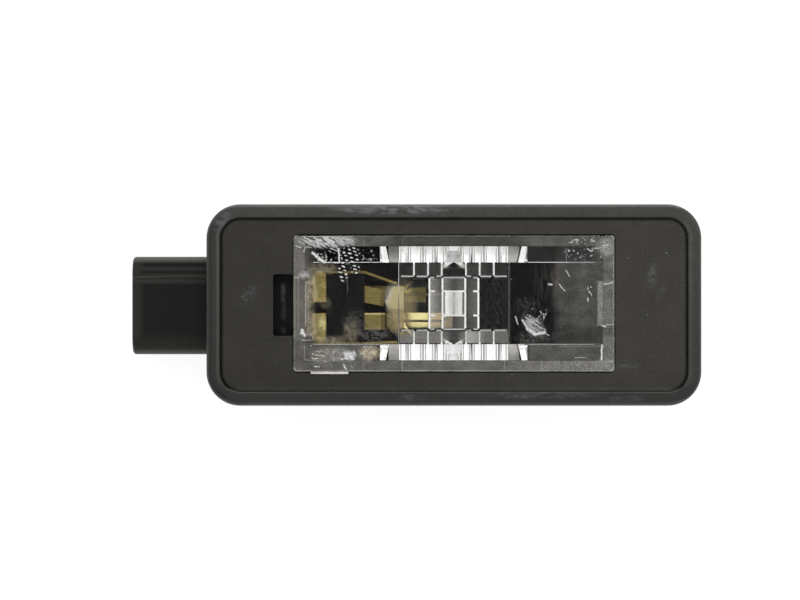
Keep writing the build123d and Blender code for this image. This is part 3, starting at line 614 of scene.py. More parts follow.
def contact_brass():
    """Rolled brass strip, dulled in patches, with painted shade and painted highlights."""
    material, shader = new_material("contact brass")
    position = position_mm(shader)
    x, y = split(position)[:2]
    rolled = streaks(position, 0.0, 2.4, 5.0, 0.48)
    dull_and_shaded = step(noise(position, 0.55, 3.0), 0.42, 0.68)
    # The rear pads and the upper foot are painted duller and in shade, and the lower foot is painted
    # brighter as a highlight up to its brown end
    rear = band(x, -15.5, -10.5, 0.5)
    under_bulb = step(x, -8.0, -6.5)
    foot = product(under_bulb, step(y, 0.0, -0.6))
    upper_foot = product(under_bulb, step(y, -0.6, 0.0))
    dull_and_shaded = product(most(dull_and_shaded, rear, upper_foot), math("SUBTRACT", 1.0, foot))
    colour = blend(dull_and_shaded, BRASS, BRASS_DULL)
    colour = blend(product(rolled, 0.12), colour, BRASS_ROLLED)
    colour = blend(foot, colour, BRASS_HIGHLIGHT)
    colour = blend(product(foot, step(x, -4.4, -3.6)), colour, BRASS_BROWN)
    # Painted shade on the rear pads and the upper foot
    shade = most(product(rear, 0.3), product(upper_foot, 0.42))
    colour = blend(shade, colour, BRASS_SHADE)
    colour = brass_painted_light(position, rear, colour)
    plug(colour, shader.inputs["Base Color"])
    plug(math("MULTIPLY_ADD", dull_and_shaded, 0.16, 0.2), shader.inputs["Roughness"])
    shader.inputs["Metallic"].default_value = 1.0
    bump(noise(position, 0.9, 2.0), 0.05, shader, 0.5)
    return material


def brass_painted_light(position, rear, colour):
    """Painted shade on the arms, strips and pad corners, and painted highlights on an edge of the lower rear
    pad and on a front spot.
    """
    x, y = split(position)[:2]
    # The arms bend out beside the bulb's neck, and the side strips run towards the connector
    beside = math("ABSOLUTE", math("SUBTRACT", y, BULB_Y))
    arm = product(step(x, -8.8, -8.2), step(beside, 3.2, 3.5), 0.8)
    strips = most(step(y, 4.6, 4.9), step(y, -5.3, -5.6))
    strips = product(strips, band(x, -20.6, -14.9, 0.5), 0.6)
    pads = patches(position, FRONT_PADS)
    corners = product(step(x, -19.5, -20.5), step(pads, 0.5, 0.0, 0.0, 0.75))
    # Painted shade on the arms, strips and pad corners
    for dark in (arm, strips, corners):
        colour = blend(dark, colour, BRASS_SHADE)
    # Painted highlights on an edge of the lower rear pad and on a front spot
    rear_edge = product(rear, band(y, -1.6, -1.2, 0.08), 0.9)
    spot = patch(position, (-21.5, -3.4), (1.1, 2.0))
    for bright in (rear_edge, spot):
        colour = blend(bright, colour, BRASS_HIGHLIGHT)
    return colour


def bulb_wire():
    """Drawn wire, dark where the glass is pinched round it and paler inside the bulb."""
    material, shader = new_material("bulb wire")
    position = position_mm(shader)
    drawn = noise(position, 3.0, 2.0)
    x = split(position)[0]
    dark = blend(drawn, (0.10, 0.08, 0.05, 1), (0.18, 0.14, 0.08, 1))
    colour = blend(step(x, -8.0, -6.5), dark, (0.30, 0.25, 0.12, 1))
    plug(colour, shader.inputs["Base Color"])
    plug(math("MULTIPLY_ADD", drawn, 0.2, 0.35), shader.inputs["Roughness"])
    shader.inputs["Metallic"].default_value = 1.0
    return material


def wear(material, *node_names):
    """Give CAD nodes their material."""
    for node_name in node_names:
        node = nodes[node_name]
        node.data.materials.clear()
        node.data.materials.append(material)


wear(black_plastic(), "housing")
wear(seal_rubber(), "seal")
wear(clear_material("clear lens plastic", (0.97, 0.98, 0.98, 1), 1.586), "lens")
wear(clear_material("bulb glass", (1, 1, 1, 1), 1.03), "bulb_glass")
wear(contact_brass(), "contact_upper", "contact_lower")
wear(bulb_wire(), "bulb_lead_wire_upper", "bulb_lead_wire_lower", "bulb_filament")

# Single marks on the front of the lens: start, end, width and cover
SCUFFS_UPPER_LEFT = [
    ((-24.2, 10.9), (-21.2, 9.7), 0.26, 1.0),
    ((-22.6, 10.8), (-20.7, 9.9), 0.22, 0.9),
    ((-21.1, 10.9), (-19.5, 9.4), 0.24, 1.0),
    ((-20.4, 10.8), (-18.4, 8.7), 0.22, 0.8),
    ((-19.6, 10.9), (-17.8, 9.6), 0.24, 0.9),
    ((-18.4, 10.9), (-16.4, 10.4), 0.24, 0.9),
    ((-17.6, 10.4), (-16.2, 9.7), 0.20, 0.6),
    ((-25.6, 9.6), (-24.8, 9.3), 0.24, 0.8),
    ((-24.3, 8.6), (-24.1, 9.4), 0.22, 0.7),
    ((-24.1, 9.4), (-23.1, 9.35), 0.22, 0.7),
    ((-22.9, 8.4), (-21.2, 7.1), 0.74, 1.0),
    ((-21.9, 7.3), (-20.8, 6.95), 0.50, 1.0),
    ((-21.2, 6.85), (-18.5, 6.85), 0.24, 0.9),
    ((-18.65, 9.1), (-18.6, 6.9), 0.42, 1.0),
    ((-20.0, 9.2), (-18.8, 8.7), 0.24, 0.9),
    ((-17.3, 5.0), (-17.3, 2.3), 0.10, 0.3),
    ((-24.3, 11.1), (-16.3, 11.1), 0.26, 0.75),
]
SCUFFS_LOWER_LEFT = [
    ((-24.6, -4.1), (-24.25, -4.9), 0.80, 1.0),
    ((-24.8, -4.6), (-24.2, -4.8), 0.60, 1.0),
    ((-23.9, -4.7), (-23.0, -4.9), 0.26, 0.6),
    ((-23.0, -4.9), (-22.7, -5.5), 0.26, 0.5),
    ((-24.6, -5.7), (-23.1, -5.75), 0.24, 0.5),
    ((-22.4, -8.1), (-21.0, -8.25), 0.28, 0.8),
    ((-22.9, -8.65), (-22.1, -8.7), 0.32, 0.8),
    ((-23.2, -6.6), (-23.1, -6.6), 0.34, 0.6),
    ((-21.5, -7.4), (-20.2, -7.9), 0.40, 0.35),
    ((-18.2, -8.8), (-17.1, -8.65), 0.40, 1.0),
    ((-17.4, -7.95), (-16.3, -7.7), 0.42, 1.0),
    ((-17.1, -8.2), (-16.3, -8.8), 0.55, 1.0),
    ((-16.3, -7.45), (-15.9, -8.1), 0.44, 0.9),
    ((-18.0, -7.8), (-17.5, -7.7), 0.26, 0.8),
    ((-22.6, -9.95), (-21.8, -9.95), 0.28, 0.85),
    ((-20.0, -9.6), (-19.6, -10.3), 0.18, 0.4),
    ((-17.9, -9.6), (-17.6, -10.2), 0.34, 0.9),
    ((-17.6, -10.2), (-17.35, -10.7), 0.34, 0.9),
    ((-16.7, -9.9), (-16.4, -10.2), 0.24, 0.4),
    ((-8.4, -8.9), (-8.4, -10.7), 0.16, 0.5),
]
MARKS_NEAR_END = [
    ((-25.8, 4.5), (-25.1, 4.4), 0.36, 0.40),
    ((-24.4, 4.5), (-24.0, 5.4), 0.36, 0.50),
    ((-24.0, 3.8), (-24.05, -3.1), 0.26, 0.42),
    ((-24.05, -3.1), (-23.5, -3.6), 0.26, 0.36),
    ((-24.25, -6.6), (-24.2, -8.8), 0.18, 0.30),
    ((-24.2, -8.95), (-18.6, -8.95), 0.18, 0.34),
    ((-18.6, -8.95), (-12.3, -8.85), 0.16, 0.18),
    ((-8.3, 9.5), (-8.3, 10.8), 0.14, 0.22),
    ((-14.6, 9.5), (-14.6, 10.6), 0.14, 0.16),
    ((-14.6, -8.9), (-14.6, -10.4), 0.14, 0.2),
]
MARKS_FAR_END = [
    ((24.3, 3.35), (25.8, 3.65), 0.34, 0.75),
    ((23.9, -3.3), (24.5, -3.5), 0.42, 0.8),
    ((24.5, -3.2), (25.8, -3.15), 0.24, 0.45),
    ((23.95, -6.5), (23.92, -8.8), 0.50, 1.0),
    ((18.2, 8.9), (18.2, 6.9), 0.14, 0.4),
    ((8.2, -8.9), (8.2, -10.7), 0.14, 0.35),
    ((17.0, -6.7), (23.8, -6.7), 0.14, 0.26),
    ((14.2, 9.5), (14.2, 10.6), 0.14, 0.2),
    ((14.2, -8.9), (14.2, -10.4), 0.14, 0.25),
    ((19.6, -8.5), (21.2, -8.5), 0.28, 0.45),
    ((19.8, -9.7), (20.4, -9.45), 0.24, 0.5),
    ((24.9, -9.1), (25.7, -9.1), 0.24, 0.45),
    ((24.8, 8.4), (25.6, 8.4), 0.26, 0.45),
    ((21.6, 9.1), (22.2, 8.7), 0.30, 0.9),
    ((22.7, 9.2), (23.9, 9.3), 0.24, 0.75),
    ((24.3, 9.3), (24.4, 9.3), 0.40, 0.8),
    ((24.3, 10.1), (24.9, 10.6), 0.22, 0.5),
    ((24.6, 9.6), (24.9, 9.9), 0.34, 0.9),
    ((18.8, 10.1), (19.2, 10.3), 0.30, 0.8),
    ((19.6, 10.6), (20.1, 10.5), 0.34, 0.8),
]
SCUFFS_RIGHT = [
    ((18.1, 5.6), (18.75, 4.6), 0.20, 0.95),
    ((17.05, 3.4), (17.95, 2.3), 0.24, 1.0),
    ((15.35, 3.35), (15.8, 3.3), 0.50, 1.0),
    ((21.7, 2.9), (21.75, 2.5), 0.28, 0.8),
    ((22.15, 2.95), (22.2, 2.9), 0.30, 0.8),
    ((21.9, 2.3), (22.3, 1.6), 0.24, 0.9),
    ((21.7, 1.1), (21.7, 0.65), 0.34, 0.95),
    ((9.26, 4.2), (9.30, 4.2), 0.20, 0.8),
    ((11.1, -2.5), (11.95, -3.85), 0.62, 0.8),
    ((11.95, -3.85), (13.2, -4.75), 0.95, 1.0),
    ((13.2, -4.75), (14.6, -4.4), 0.85, 1.0),
    ((11.8, -2.1), (13.3, -3.3), 0.26, 0.8),
    ((12.3, -3.2), (13.6, -4.2), 0.30, 0.6),
    ((13.2, -3.1), (14.8, -4.0), 0.24, 0.7),
    ((14.7, -4.5), (15.4, -4.9), 0.24, 0.7),
    ((9.95, -1.9), (10.35, -3.1), 0.36, 0.7),
]

# Brown smears on the front of the lens: middle, half size and cover
SMEARS_NEAR_END = [
    ((-21.5, 5.9), (3.4, 1.2), 0.17),
    ((-13.6, -7.8), (2.4, 1.5), 0.5),
    ((-16.6, -4.2), (1.7, 2.9), 0.14),
    ((-20.6, -7.9), (3.6, 1.7), 0.13),
    ((-20.9, 0.3), (1.3, 1.3), 0.08),
    ((-23.1, 2.4), (1.2, 3.6), 0.28),
    ((-23.1, -3.2), (1.2, 3.2), 0.24),
    ((-20.0, -5.7), (3.8, 1.0), 0.18),
]
SMEARS_FAR_END = [((16.3, 4.4), (1.0, 2.4), 0.05)]

# Patches that the dust, the dashes, the specks and the white smears keep to: middle, half size, cover, angle
DUSTY_PLACES = (
    ((-15.8, -2.6), (3.2, 3.0)),
    ((-12.8, -4.7), (3.4, 1.9), 2.2),
    ((13.0, -5.3), (4.0, 1.5), 2.0),
    ((12.0, -0.2), (3.4, 2.2), 0.7),
)
DASH_PLACES = (
    ((-16.8, 8.1), (1.9, 1.7)),
    ((-17.9, 5.4), (1.0, 1.9)),
    ((-16.0, 5.9), (0.9, 1.0)),
)
SPECK_PLACES_NEAR = (
    ((-20.9, 8.1), (2.6, 1.5)),
    ((-13.8, 8.0), (1.8, 1.4)),
    ((-19.6, -8.2), (4.6, 1.4)),
    ((-14.0, -7.6), (1.6, 1.4)),
)
SPECK_PLACES_FAR = (((21.4, 9.1), (4.6, 2.4)), ((13.4, -1.4), (2.6, 1.9)))
WHITE_SMEARS_NEAR = (
    ((-24.1, 4.95), (1.5, 1.0), 0.34),
    ((-18.6, -8.0), (3.6, 1.5), 0.26),
    ((-17.0, -8.2), (1.5, 1.1), 0.75, 20.0),
    ((-17.6, 10.4), (2.6, 0.9), 0.34),
)

# Painted shade in dark lines along the slanted sides of the outer flutes: start, end and cover
FLUTE_LINES = (
    ((10.7, 9.1), (10.25, 7.0), 0.75),
    ((10.25, -6.5), (10.65, -8.6), 0.5),
    ((-10.7, 8.9), (-10.5, 7.0), 0.35),
)
FLUTE_LINE_W = 0.4

# Slanted sides of the bloom on the bulb's neck: shares of x and y, and an offset
BLOOM_SIDES = ((0.87, -0.49, 10.28), (0.92, 0.40, 10.27))


def lens_places(shader):
    """Places on the lens: as read, along and across it, away from its two axes, and from its middle."""
    position = position_mm(shader)
    centred = vector("SUBTRACT", position, (0, LENS_MIDDLE_Y, 0))
    x, y = split(centred)[:2]
    return position, x, y, math("ABSOLUTE", x), math("ABSOLUTE", y), centred


def finish_film(shader, cover):
    shader.inputs["Roughness"].default_value = 0.6
    shader.inputs["Specular IOR Level"].default_value = 0.0
    plug(cover, shader.inputs["Alpha"])


def lens_film_material():
    """White haze whose cover follows the rim, the ends, the rails and the window."""
    material, shader = new_material("lens haze")
    position, x, y, side_x, side_y, centred = lens_places(shader)
    soft = step(noise(position, 0.5, 3.0), 0.25, 0.75, 0.8, 1.2)
    cloud = product(soft, step(noise(position, 3.2, 4.0), 0.3, 0.7, 0.74, 1.26))
    edge = outline(centred, LENS_HALF_L, LENS_HALF_W, LENS_CORNER_R)
    rail = outline(centred, RAIL_END_X, RAIL_OUTER_Y, RAIL_CORNER_R)
    in_rail = band(side_y, RAIL_INNER_Y, RAIL_OUTER_Y, 0.08)
    cover = product(step(rail, -0.1, 0.15), rim_haze(x, y, side_x, side_y), cloud)
    cover = most(cover, product(step(edge, -0.32, -0.12), edge_shine(x, y), soft))
    cover = most(cover, product(lug_haze(x, y, edge), cloud))
    cover = most(cover, product(end_haze(position, x, y), cloud))
    cover = most(cover, window_dust(position, side_x, side_y))
    cover = most(cover, product(in_rail, rail_haze(x, y), cloud))
    cover = most(cover, product(in_rail, plain_stretch(x, y, side_x, side_y), soft))
    cover = most(cover, product(tab_haze(x, side_y), cloud))
    lines = shade_lines(x, y, side_x, side_y)
    near_brass = product(step(x, -22.0, -23.5), step(side_y, 5.4, 4.4, 0.25, 1.0))
    haze = blend(near_brass, HAZE, HAZE_NEAR_BRASS)
    # Painted shade over the bead lines and the latch line
    plug(blend(step(lines, 0.1, 0.4), haze, grey(0.2)), shader.inputs["Base Color"])
    finish_film(shader, most(math("MINIMUM", cover, 1.0), lines))
    return material


def rim_haze(x, y, side_x, side_y):
    """Haze over the rim, stronger along the lower edge and the two ends, and weaker beside the tab."""
    upper = step(side_x, 8.5, 13.0, 0.068, 0.128)
    lower = product(step(y, -8.6, -9.4), step(x, -24.0, -22.5), step(x, 7.0, 17.0, 0.148, 0.23))
    near_end = product(step(x, -23.4, -24.4), step(y, -4.5, -7.5, 0.17, 0.085))
    far_end = product(step(x, 23.4, 24.4), step(y, 0.0, -5.0, 0.168, 0.2))
    beside_tab = math("MULTIPLY_ADD", band(side_y, 3.9, 5.4, 0.4), -0.4, 1.0)
    return most(upper, lower, near_end, product(far_end, beside_tab))


def edge_shine(x, y):
    """Light on the rounded edge, most along the lower side and the two ends."""
    return most(
        step(y, -9.6, -10.6, 0.16, 0.8),
        step(x, -25.0, -25.6, 0.16, 0.5),
        step(x, 25.0, 25.6, 0.16, 0.55),
    )


def lug_haze(x, y, edge):
    """The gate lug with its slanted end, paler towards its tip."""
    slanted = math("MULTIPLY_ADD", y, LUG_SLANT, x)
    start = LUG_X - LUG_HALF_L - LUG_SLANT * LENS_HALF_W
    lug = product(step(edge, 0.0, 0.08), step(slanted, start, start + 0.3))
    return product(lug, step(y, -LENS_HALF_W, -LENS_HALF_W - 0.35, 0.35, 0.85))


def end_haze(position, x, y):
    """Haze that grows towards the far end, and a little at the connector end."""
    drift = math("MULTIPLY_ADD", noise(position, 0.3, 2.0), 3.0, -1.5)
    far = step(math("ADD", x, drift), 15.6, 17.2, 0.0, 0.076)
    far = math("ADD", far, step(x, 18.0, 24.0, 0.0, 0.05))
    far = product(far, step(x, 20.6, 22.2, 1.0, 0.72))
    far = product(far, step(y, -2.5, -5.0, 1.0, 0.6), step(y, 6.5, 6.8, 1.0, 0.55))
    near = step(x, -21.5, -24.5, 0.0, 0.10)
    near_band = product(band(x, -24.2, -23.3, 0.25), band(y, -3.4, 3.7, 0.3), 0.19)
    return most(far, near, near_band)


def window_dust(position, side_x, side_y):
    """Thin scatter all over the clear window, denser over the grid and in its dusty places."""
    dusty = most(step(side_x, 9.2, 8.8, 0.2, 0.62), patches(position, DUSTY_PLACES))
    ragged = shaken(position, 4.5, 0.5)
    dust = most(
        step(noise(ragged, 3.2, 4.0), 0.46, 0.62),
        product(streaks(ragged, 58.0, 2.6, 3.0, 0.5), 0.8),
    )
    window = step(side_y, RAIL_INNER_Y, RAIL_INNER_Y - 0.2)
    return product(window, dusty, dust, 0.05)


def rail_haze(x, y):
    """Thin haze in both rails, most of it in the lower one."""
    lower = step(y, 0.0, -1.0)
    return most(
        product(lower, step(x, -12.5, -13.5), 0.116),
        product(lower, step(x, 11.4, 12.6), 0.105),
        product(step(y, 0.0, 1.0), step(x, 11.2, 11.8), 0.022),
        step(x, 18.0, 24.0, 0.0, 0.066),
    )


def plain_stretch(x, y, side_x, side_y):
    """The plain stretch of a rail between its flutes, paler towards the window."""
    stretch = band(side_x, 8.85, 10.6, 0.1)
    fade = step(side_y, RAIL_OUTER_Y, RAIL_INNER_Y, 0.22, 0.5)
    brighter = most(step(x, -1.0, 1.0, 0.75, 1.2), step(y, 1.0, -1.0, 0.75, 1.2))
    return product(stretch, fade, brighter)


def tab_haze(x, side_y):
    """The tab at the far end, paler along its inner side."""
    across = step(side_y, TAB_HALF_W + 0.1, TAB_HALF_W - 0.1)
    inner_side = band(x, TAB_X, TAB_X + TAB_SIDE_W, 0.15)
    level = math("MULTIPLY_ADD", inner_side, 0.13, 0.14)
    return product(step(x, TAB_X - 0.1, TAB_X + 0.1), across, level)


def shade_lines(x, y, side_x, side_y):
    """Painted shade in grey over the bead lines of the rails and over the line of the latch behind the
    connector end.
    """
    beads = most(step(x, 18.2, 18.6), step(y, 0.0, -1.0, 0.0, 0.8))
    beads = product(beads, band(side_x, 10.7, 24.0, 0.1), 0.6)
    beads = product(beads, band(side_y, 6.5, 6.78, 0.06))
    latch = product(band(x, -25.4, -25.02, 0.08), step(side_y, 4.8, 4.6), 0.85)
    return most(beads, latch)


def middle_film_material():
    """White haze in the grid's cells, painted light over the frame and in the gaps between the flutes, a
    grey veil of painted shade over the flutes, and painted shade on the ribs.
    """
    material, shader = new_material("middle haze")
    position, x, y, side_x, side_y = lens_places(shader)[:5]
    cloud = step(noise(position, 4.5, 2.0), 0.3, 0.7, 0.8, 1.2)
    row = band(side_y, 4.5, RAIL_INNER_Y - 0.2, 0.1)
    row = product(row, step(side_x, GRID_HALF_L + 0.2, GRID_HALF_L))
    cover = product(row, cell_haze(x, y, side_x, side_y), cloud)
    cover = most(cover, product(frame_painted_light(x, side_x, side_y), cloud))
    # Painted light lifts the dark gaps between the flutes
    flutes = band(side_y, RAIL_INNER_Y, RAIL_OUTER_Y, 0.08)
    flutes = product(flutes, step(side_x, GRID_HALF_L + 0.05, GRID_HALF_L - 0.05))
    for gap in FLUTE_GAPS:
        cover = most(cover, product(flutes, about(side_x, gap, 0.1, 0.05), 0.6))
    # Painted shade over the flutes, as a grey veil
    veil = product(flutes, flute_painted_shade(position, y, side_x, side_y))
    veil = most(veil, block_painted_shade(side_x, side_y))
    rib_shade = grid_painted_shade(position, x, y, side_x, side_y, row)
    colour = blend(share_of(veil, cover), HAZE, grey(0.6, (1.0, 0.99, 0.96)))
    # A brown smear beside the neck of the bulb
    smear = patch(position, (-8.2, -0.6), (2.9, 5.6), 0.2)
    smear = product(smear, step(side_y, 6.5, 6.3))
    colour = blend(step(smear, 0.0, 0.1), colour, (0.90, 0.74, 0.42, 1))
    cover = most(cover, smear, patch(position, (-9.5, 1.2), (2.4, 2.8), 0.3))
    # Painted shade, dark along the ribs and flute sides
    colour = blend(step(rib_shade, 0.1, 0.3), colour, grey(0.02))
    plug(colour, shader.inputs["Base Color"])
    finish_film(shader, most(cover, veil, rib_shade))
    return material


def cell_haze(x, y, side_x, side_y):
    """The rows of cells above and below the frame, hazier below it."""
    lower_row = most(
        step(x, -1.6, -2.2, 0.0, 0.2),
        product(step(x, 1.6, 2.2), step(x, 2.2, 6.6, 0.43, 0.076)),
        step(side_x, 0.2, 1.6, 0.05, 0.16),
    )
    # Above the frame the middle cell is dark, with two pale points beside the middle flute
    points = product(step(side_x, 0.5, 1.6, 0.0, 0.45), step(side_x, 1.9, 1.6))
    points = product(points, step(side_y, 5.5, 6.0))
    upper_row = step(side_x, 8.0, 3.0, 0.014, 0.046)
    upper_row = most(points, product(upper_row, step(side_x, 1.9, 2.1, 0.2, 1.0)))
    lower_row = product(step(y, 0.5, -0.5), lower_row)
    return math("ADD", lower_row, product(step(y, -0.5, 0.5), upper_row))


def frame_painted_light(x, side_x, side_y):
    """Painted light on the middle frame, where each cell grows paler away from the middle, and more so
    towards the bulb.
    """
    cell = math("FRACT", math("DIVIDE", side_x, FRAME_HALF_L / 2))
    cell = math("MULTIPLY_ADD", cell, 0.13, 0.058)
    along = step(side_x, FRAME_HALF_L + 0.04, FRAME_HALF_L - 0.02)
    across = step(side_y, FRAME_HALF_W + 0.05, FRAME_HALF_W - 0.03)
    towards_bulb = step(x, 4.0, -3.6, 0.75, 1.7)
    return product(along, across, cell, towards_bulb, step(side_y, 2.4, 1.6, 0.9, 1.25))


def flute_painted_shade(position, y, side_x, side_y):
    """Painted shade: grey over parts of the flutes, in uneven upright streaks."""
    uneven = noise(drawn_out(position, 90.0, 2.5), 0.9, 2.0)
    uneven = step(uneven, 0.35, 0.65, 0.45, 1.25)
    upper = product(step(y, -0.5, 0.5), step(side_y, 7.3, RAIL_OUTER_Y, 0.0, 0.5))
    upper = product(upper, step(side_x, 1.2, 2.2, 0.4, 1.0))
    lower = product(step(y, 0.5, -0.5), step(side_y, 8.0, RAIL_INNER_Y, 0.0, 0.08))
    middle = step(side_x, 1.35, 1.15, 0.0, 0.22)
    return product(uneven, most(upper, lower, middle))


def block_painted_shade(side_x, side_y):
    """Painted shade in grey over the block in the frame, most in its middle."""
    level = product(step(side_x, 1.75, 0.15, 0.1, 0.66), step(side_y, 2.0, 0.5, 0.75, 1.1))
    return product(level, step(side_y, 2.0, 1.9), step(side_x, 1.9, 1.8))


def grid_painted_shade(position, x, y, side_x, side_y, row):
    """Painted shade on the level ribs of the grid, on its upright ribs, on the two that close it and on
    flutes.
    """
    level_ribs = band(side_y, 4.06, 4.54, 0.06)
    rib_shade = product(level_ribs, step(side_x, GRID_HALF_L + 0.15, GRID_HALF_L), 0.5)
    for rib_x in GRID_RIBS:
        rib_shade = most(rib_shade, product(about(side_x, rib_x, 0.15, 0.06), row, 0.3))
    closing = product(step(side_y, 6.6, 6.4), about(side_x, CLOSING_RIB_X, 0.11, 0.07))
    level = most(step(x, 0.0, 1.0, 0.0, 0.75), step(y, 3.0, 0.0, 0.0, 0.5))
    rib_shade = most(rib_shade, product(closing, level))
    for start, end, cover in FLUTE_LINES:
        line = stroke(position, start, end, FLUTE_LINE_W)
        rib_shade = most(rib_shade, product(line, cover))
    return rib_shade


def scuffs(name, marks, textures, smears):
    """White scuffs: textures in soft areas and marks broken up along their length, over brown smears."""
    material, shader = new_material(name)
    position = position_mm(shader)
    wavy = shaken(position, 1.3, 0.3)
    ragged = shaken(position, 4.0, 0.8)
    cover = textures(position, wavy, ragged)
    broken = step(noise(position, 2.6, 2.0), 0.3, 0.55, 0.5, 1.0)
    for start, end, width, strength in marks:
        mark = stroke(wavy, start, end, width)
        cover = most(cover, product(mark, broken, strength))
    brown = patches(shaken(position, 0.9, 1.1), smears)
    brown = product(brown, step(noise(ragged, 1.5, 3.0), 0.3, 0.7, 0.4, 1.5))
    colour = blend(share_of(brown, cover), grey(SCATTER), BROWN)
    plug(colour, shader.inputs["Base Color"])
    finish_film(shader, math("MINIMUM", most(cover, brown), 1.0))
    return material


def near_textures(position, wavy, ragged):
    """Fanned rubs at the upper connector corner, rows of dashes beside them, specks and white smears."""
    rub_area = patch(position, (-21.0, 10.4), (5.6, 1.6))
    rubs = product(streaks(wavy, 33.0, 4.6, 6.0, 0.49), rub_area, 0.66)
    dash_area = step(patches(position, DASH_PLACES), 0.0, 0.3)
    dashes = dash_rows(shaken(position, 1.6, 0.6), 15.0, 0.98, 0.56)
    dashes = product(dashes, dash_area)
    speck_area = step(patches(position, SPECK_PLACES_NEAR), 0.0, 0.5)
    dots = product(specks(ragged, 2.3, 0.5, 0.34), speck_area, 0.8)
    mottled = step(noise(ragged, 1.5, 3.0), 0.34, 0.64, 0.35, 1.2)
    smears = product(patches(wavy, WHITE_SMEARS_NEAR), mottled)
    return most(rubs, dashes, dots, smears)


def far_textures(position, wavy, ragged):
    """Specks at the upper far corner, fine drawn lines, and a scratched skin inside the far rub."""
    speck_area = step(patches(position, SPECK_PLACES_FAR), 0.0, 0.5)
    dots = product(specks(ragged, 2.7, 0.4, 0.34), speck_area, 0.85)
    line_area = patch(position, (14.6, 4.4), (2.8, 4.2), 0.022)
    lines = product(streaks(position, 90.0, 3.4, 14.0, 0.46), line_area)
    skin = patch(wavy, (12.9, -3.3), (2.7, 1.5), 1.0, 38.0)
    scratched = streaks(wavy, 38.0, 2.6, 4.0, 0.46)
    skin = product(skin, math("MULTIPLY_ADD", scratched, 0.26, 0.14))
    mottled = step(noise(ragged, 1.5, 3.0), 0.34, 0.64, 0.3, 1.2)
    corner = product(patch(wavy, (24.7, 9.4), (2.2, 2.2), 0.2), mottled)
    return most(dots, lines, skin, corner)


def neck_film_material():
    """Cream bloom on the pinched glass, thick with a pointed side, and thinner and browner below that."""
    material, shader = new_material("bulb neck bloom")
    position = position_mm(shader)
    x, y = split(shaken(position, 1.1, 0.5))[:2]
    sides = []
    for share_x, share_y, offset in BLOOM_SIDES:
        across = math("MULTIPLY_ADD", y, share_y, offset)
        sides.append(math("MULTIPLY_ADD", x, share_x, across))
    inside = math("MINIMUM", *sides)
    thick = product(step(inside, 0.0, 0.3), band(y, -0.7, 3.1, 0.2))
    mottled = step(noise(position, 1.4, 3.0), 0.3, 0.7, 0.4, 0.85)
    thin = product(step(x, -11.2, -10.6), band(y, -4.8, 0.0, 0.5), mottled)
    cream = blend(noise(position, 1.6, 3.0), (1.0, 0.82, 0.34, 1), (1.0, 0.93, 0.58, 1))
    plug(blend(thick, (0.80, 0.64, 0.33, 1), cream), shader.inputs["Base Color"])
    shader.inputs["Roughness"].default_value = 0.5
    shader.inputs["Specular IOR Level"].default_value = 0.3
    plug(most(thick, thin), shader.inputs["Alpha"])
    return material


# Finish sheets
def new_piece(name, mesh_bm, material):
    mesh = bpy.data.meshes.new(name)
    mesh_bm.to_mesh(mesh)
    mesh_bm.free()
    piece = bpy.data.objects.new(name, mesh)
    scene.collection.objects.link(piece)
    piece.data.materials.append(material)
    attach(piece, "root")


def lens_film():
    """A sheet over the lens face, turned down over its rounded edge, and a strip over the gate lug."""
    edge_drop = 0.2
    edge_in = 0.22
    film = bmesh.new()
    bmesh.ops.create_grid(film, x_segments=1, y_segments=1, size=1.0)
    scale = ((LENS_HALF_L - edge_in) * MM, (LENS_HALF_W - edge_in) * MM, 1.0)
    bmesh.ops.scale(film, vec=scale, verts=film.verts)
    bmesh.ops.bevel(
        film, geom=film.verts[:], offset=(LENS_CORNER_R - edge_in) * MM, segments=6,
        affect="VERTICES", profile=0.5, material=-1,
    )
    rim_edges = [edge for edge in film.edges if edge.is_boundary]
    skirt = bmesh.ops.extrude_edge_only(film, edges=rim_edges)
    skirt_verts = [item for item in skirt["geom"] if isinstance(item, bmesh.types.BMVert)]
    grow = (LENS_HALF_L / (LENS_HALF_L - edge_in), LENS_HALF_W / (LENS_HALF_W - edge_in), 1.0)
    bmesh.ops.scale(film, vec=grow, verts=skirt_verts)
    bmesh.ops.translate(film, vec=(0, 0, -edge_drop * MM), verts=skirt_verts)
    lug = bmesh.ops.create_grid(film, x_segments=1, y_segments=1, size=1.0)
    bmesh.ops.scale(film, vec=(LUG_HALF_L * MM, LUG_REACH / 2 * MM, 1.0), verts=lug["verts"])
    lug_place = (LUG_X * MM, -(LENS_HALF_W + LUG_REACH / 2) * MM, 0)
    bmesh.ops.translate(film, vec=lug_place, verts=lug["verts"])
    bmesh.ops.translate(film, vec=(0, LENS_MIDDLE_Y * MM, (FACE_Z + HAZE_LIFT) * MM), verts=film.verts)
    bmesh.ops.recalc_face_normals(film, faces=film.faces)
    new_piece("lens_haze", film, lens_film_material())


def face_sheet(name, start_x, end_x, lift, material):
    """A flat sheet close over a stretch of the lens face."""
    half_w = LENS_HALF_W - SHEET_MARGIN
    sheet = bmesh.new()
    bmesh.ops.create_grid(sheet, x_segments=1, y_segments=1, size=1.0)
    bmesh.ops.scale(sheet, vec=((end_x - start_x) / 2 * MM, half_w * MM, 1.0), verts=sheet.verts)
    middle = ((start_x + end_x) / 2 * MM, LENS_MIDDLE_Y * MM, (FACE_Z + lift) * MM)
    bmesh.ops.translate(sheet, vec=middle, verts=sheet.verts)
    new_piece(name, sheet, material)


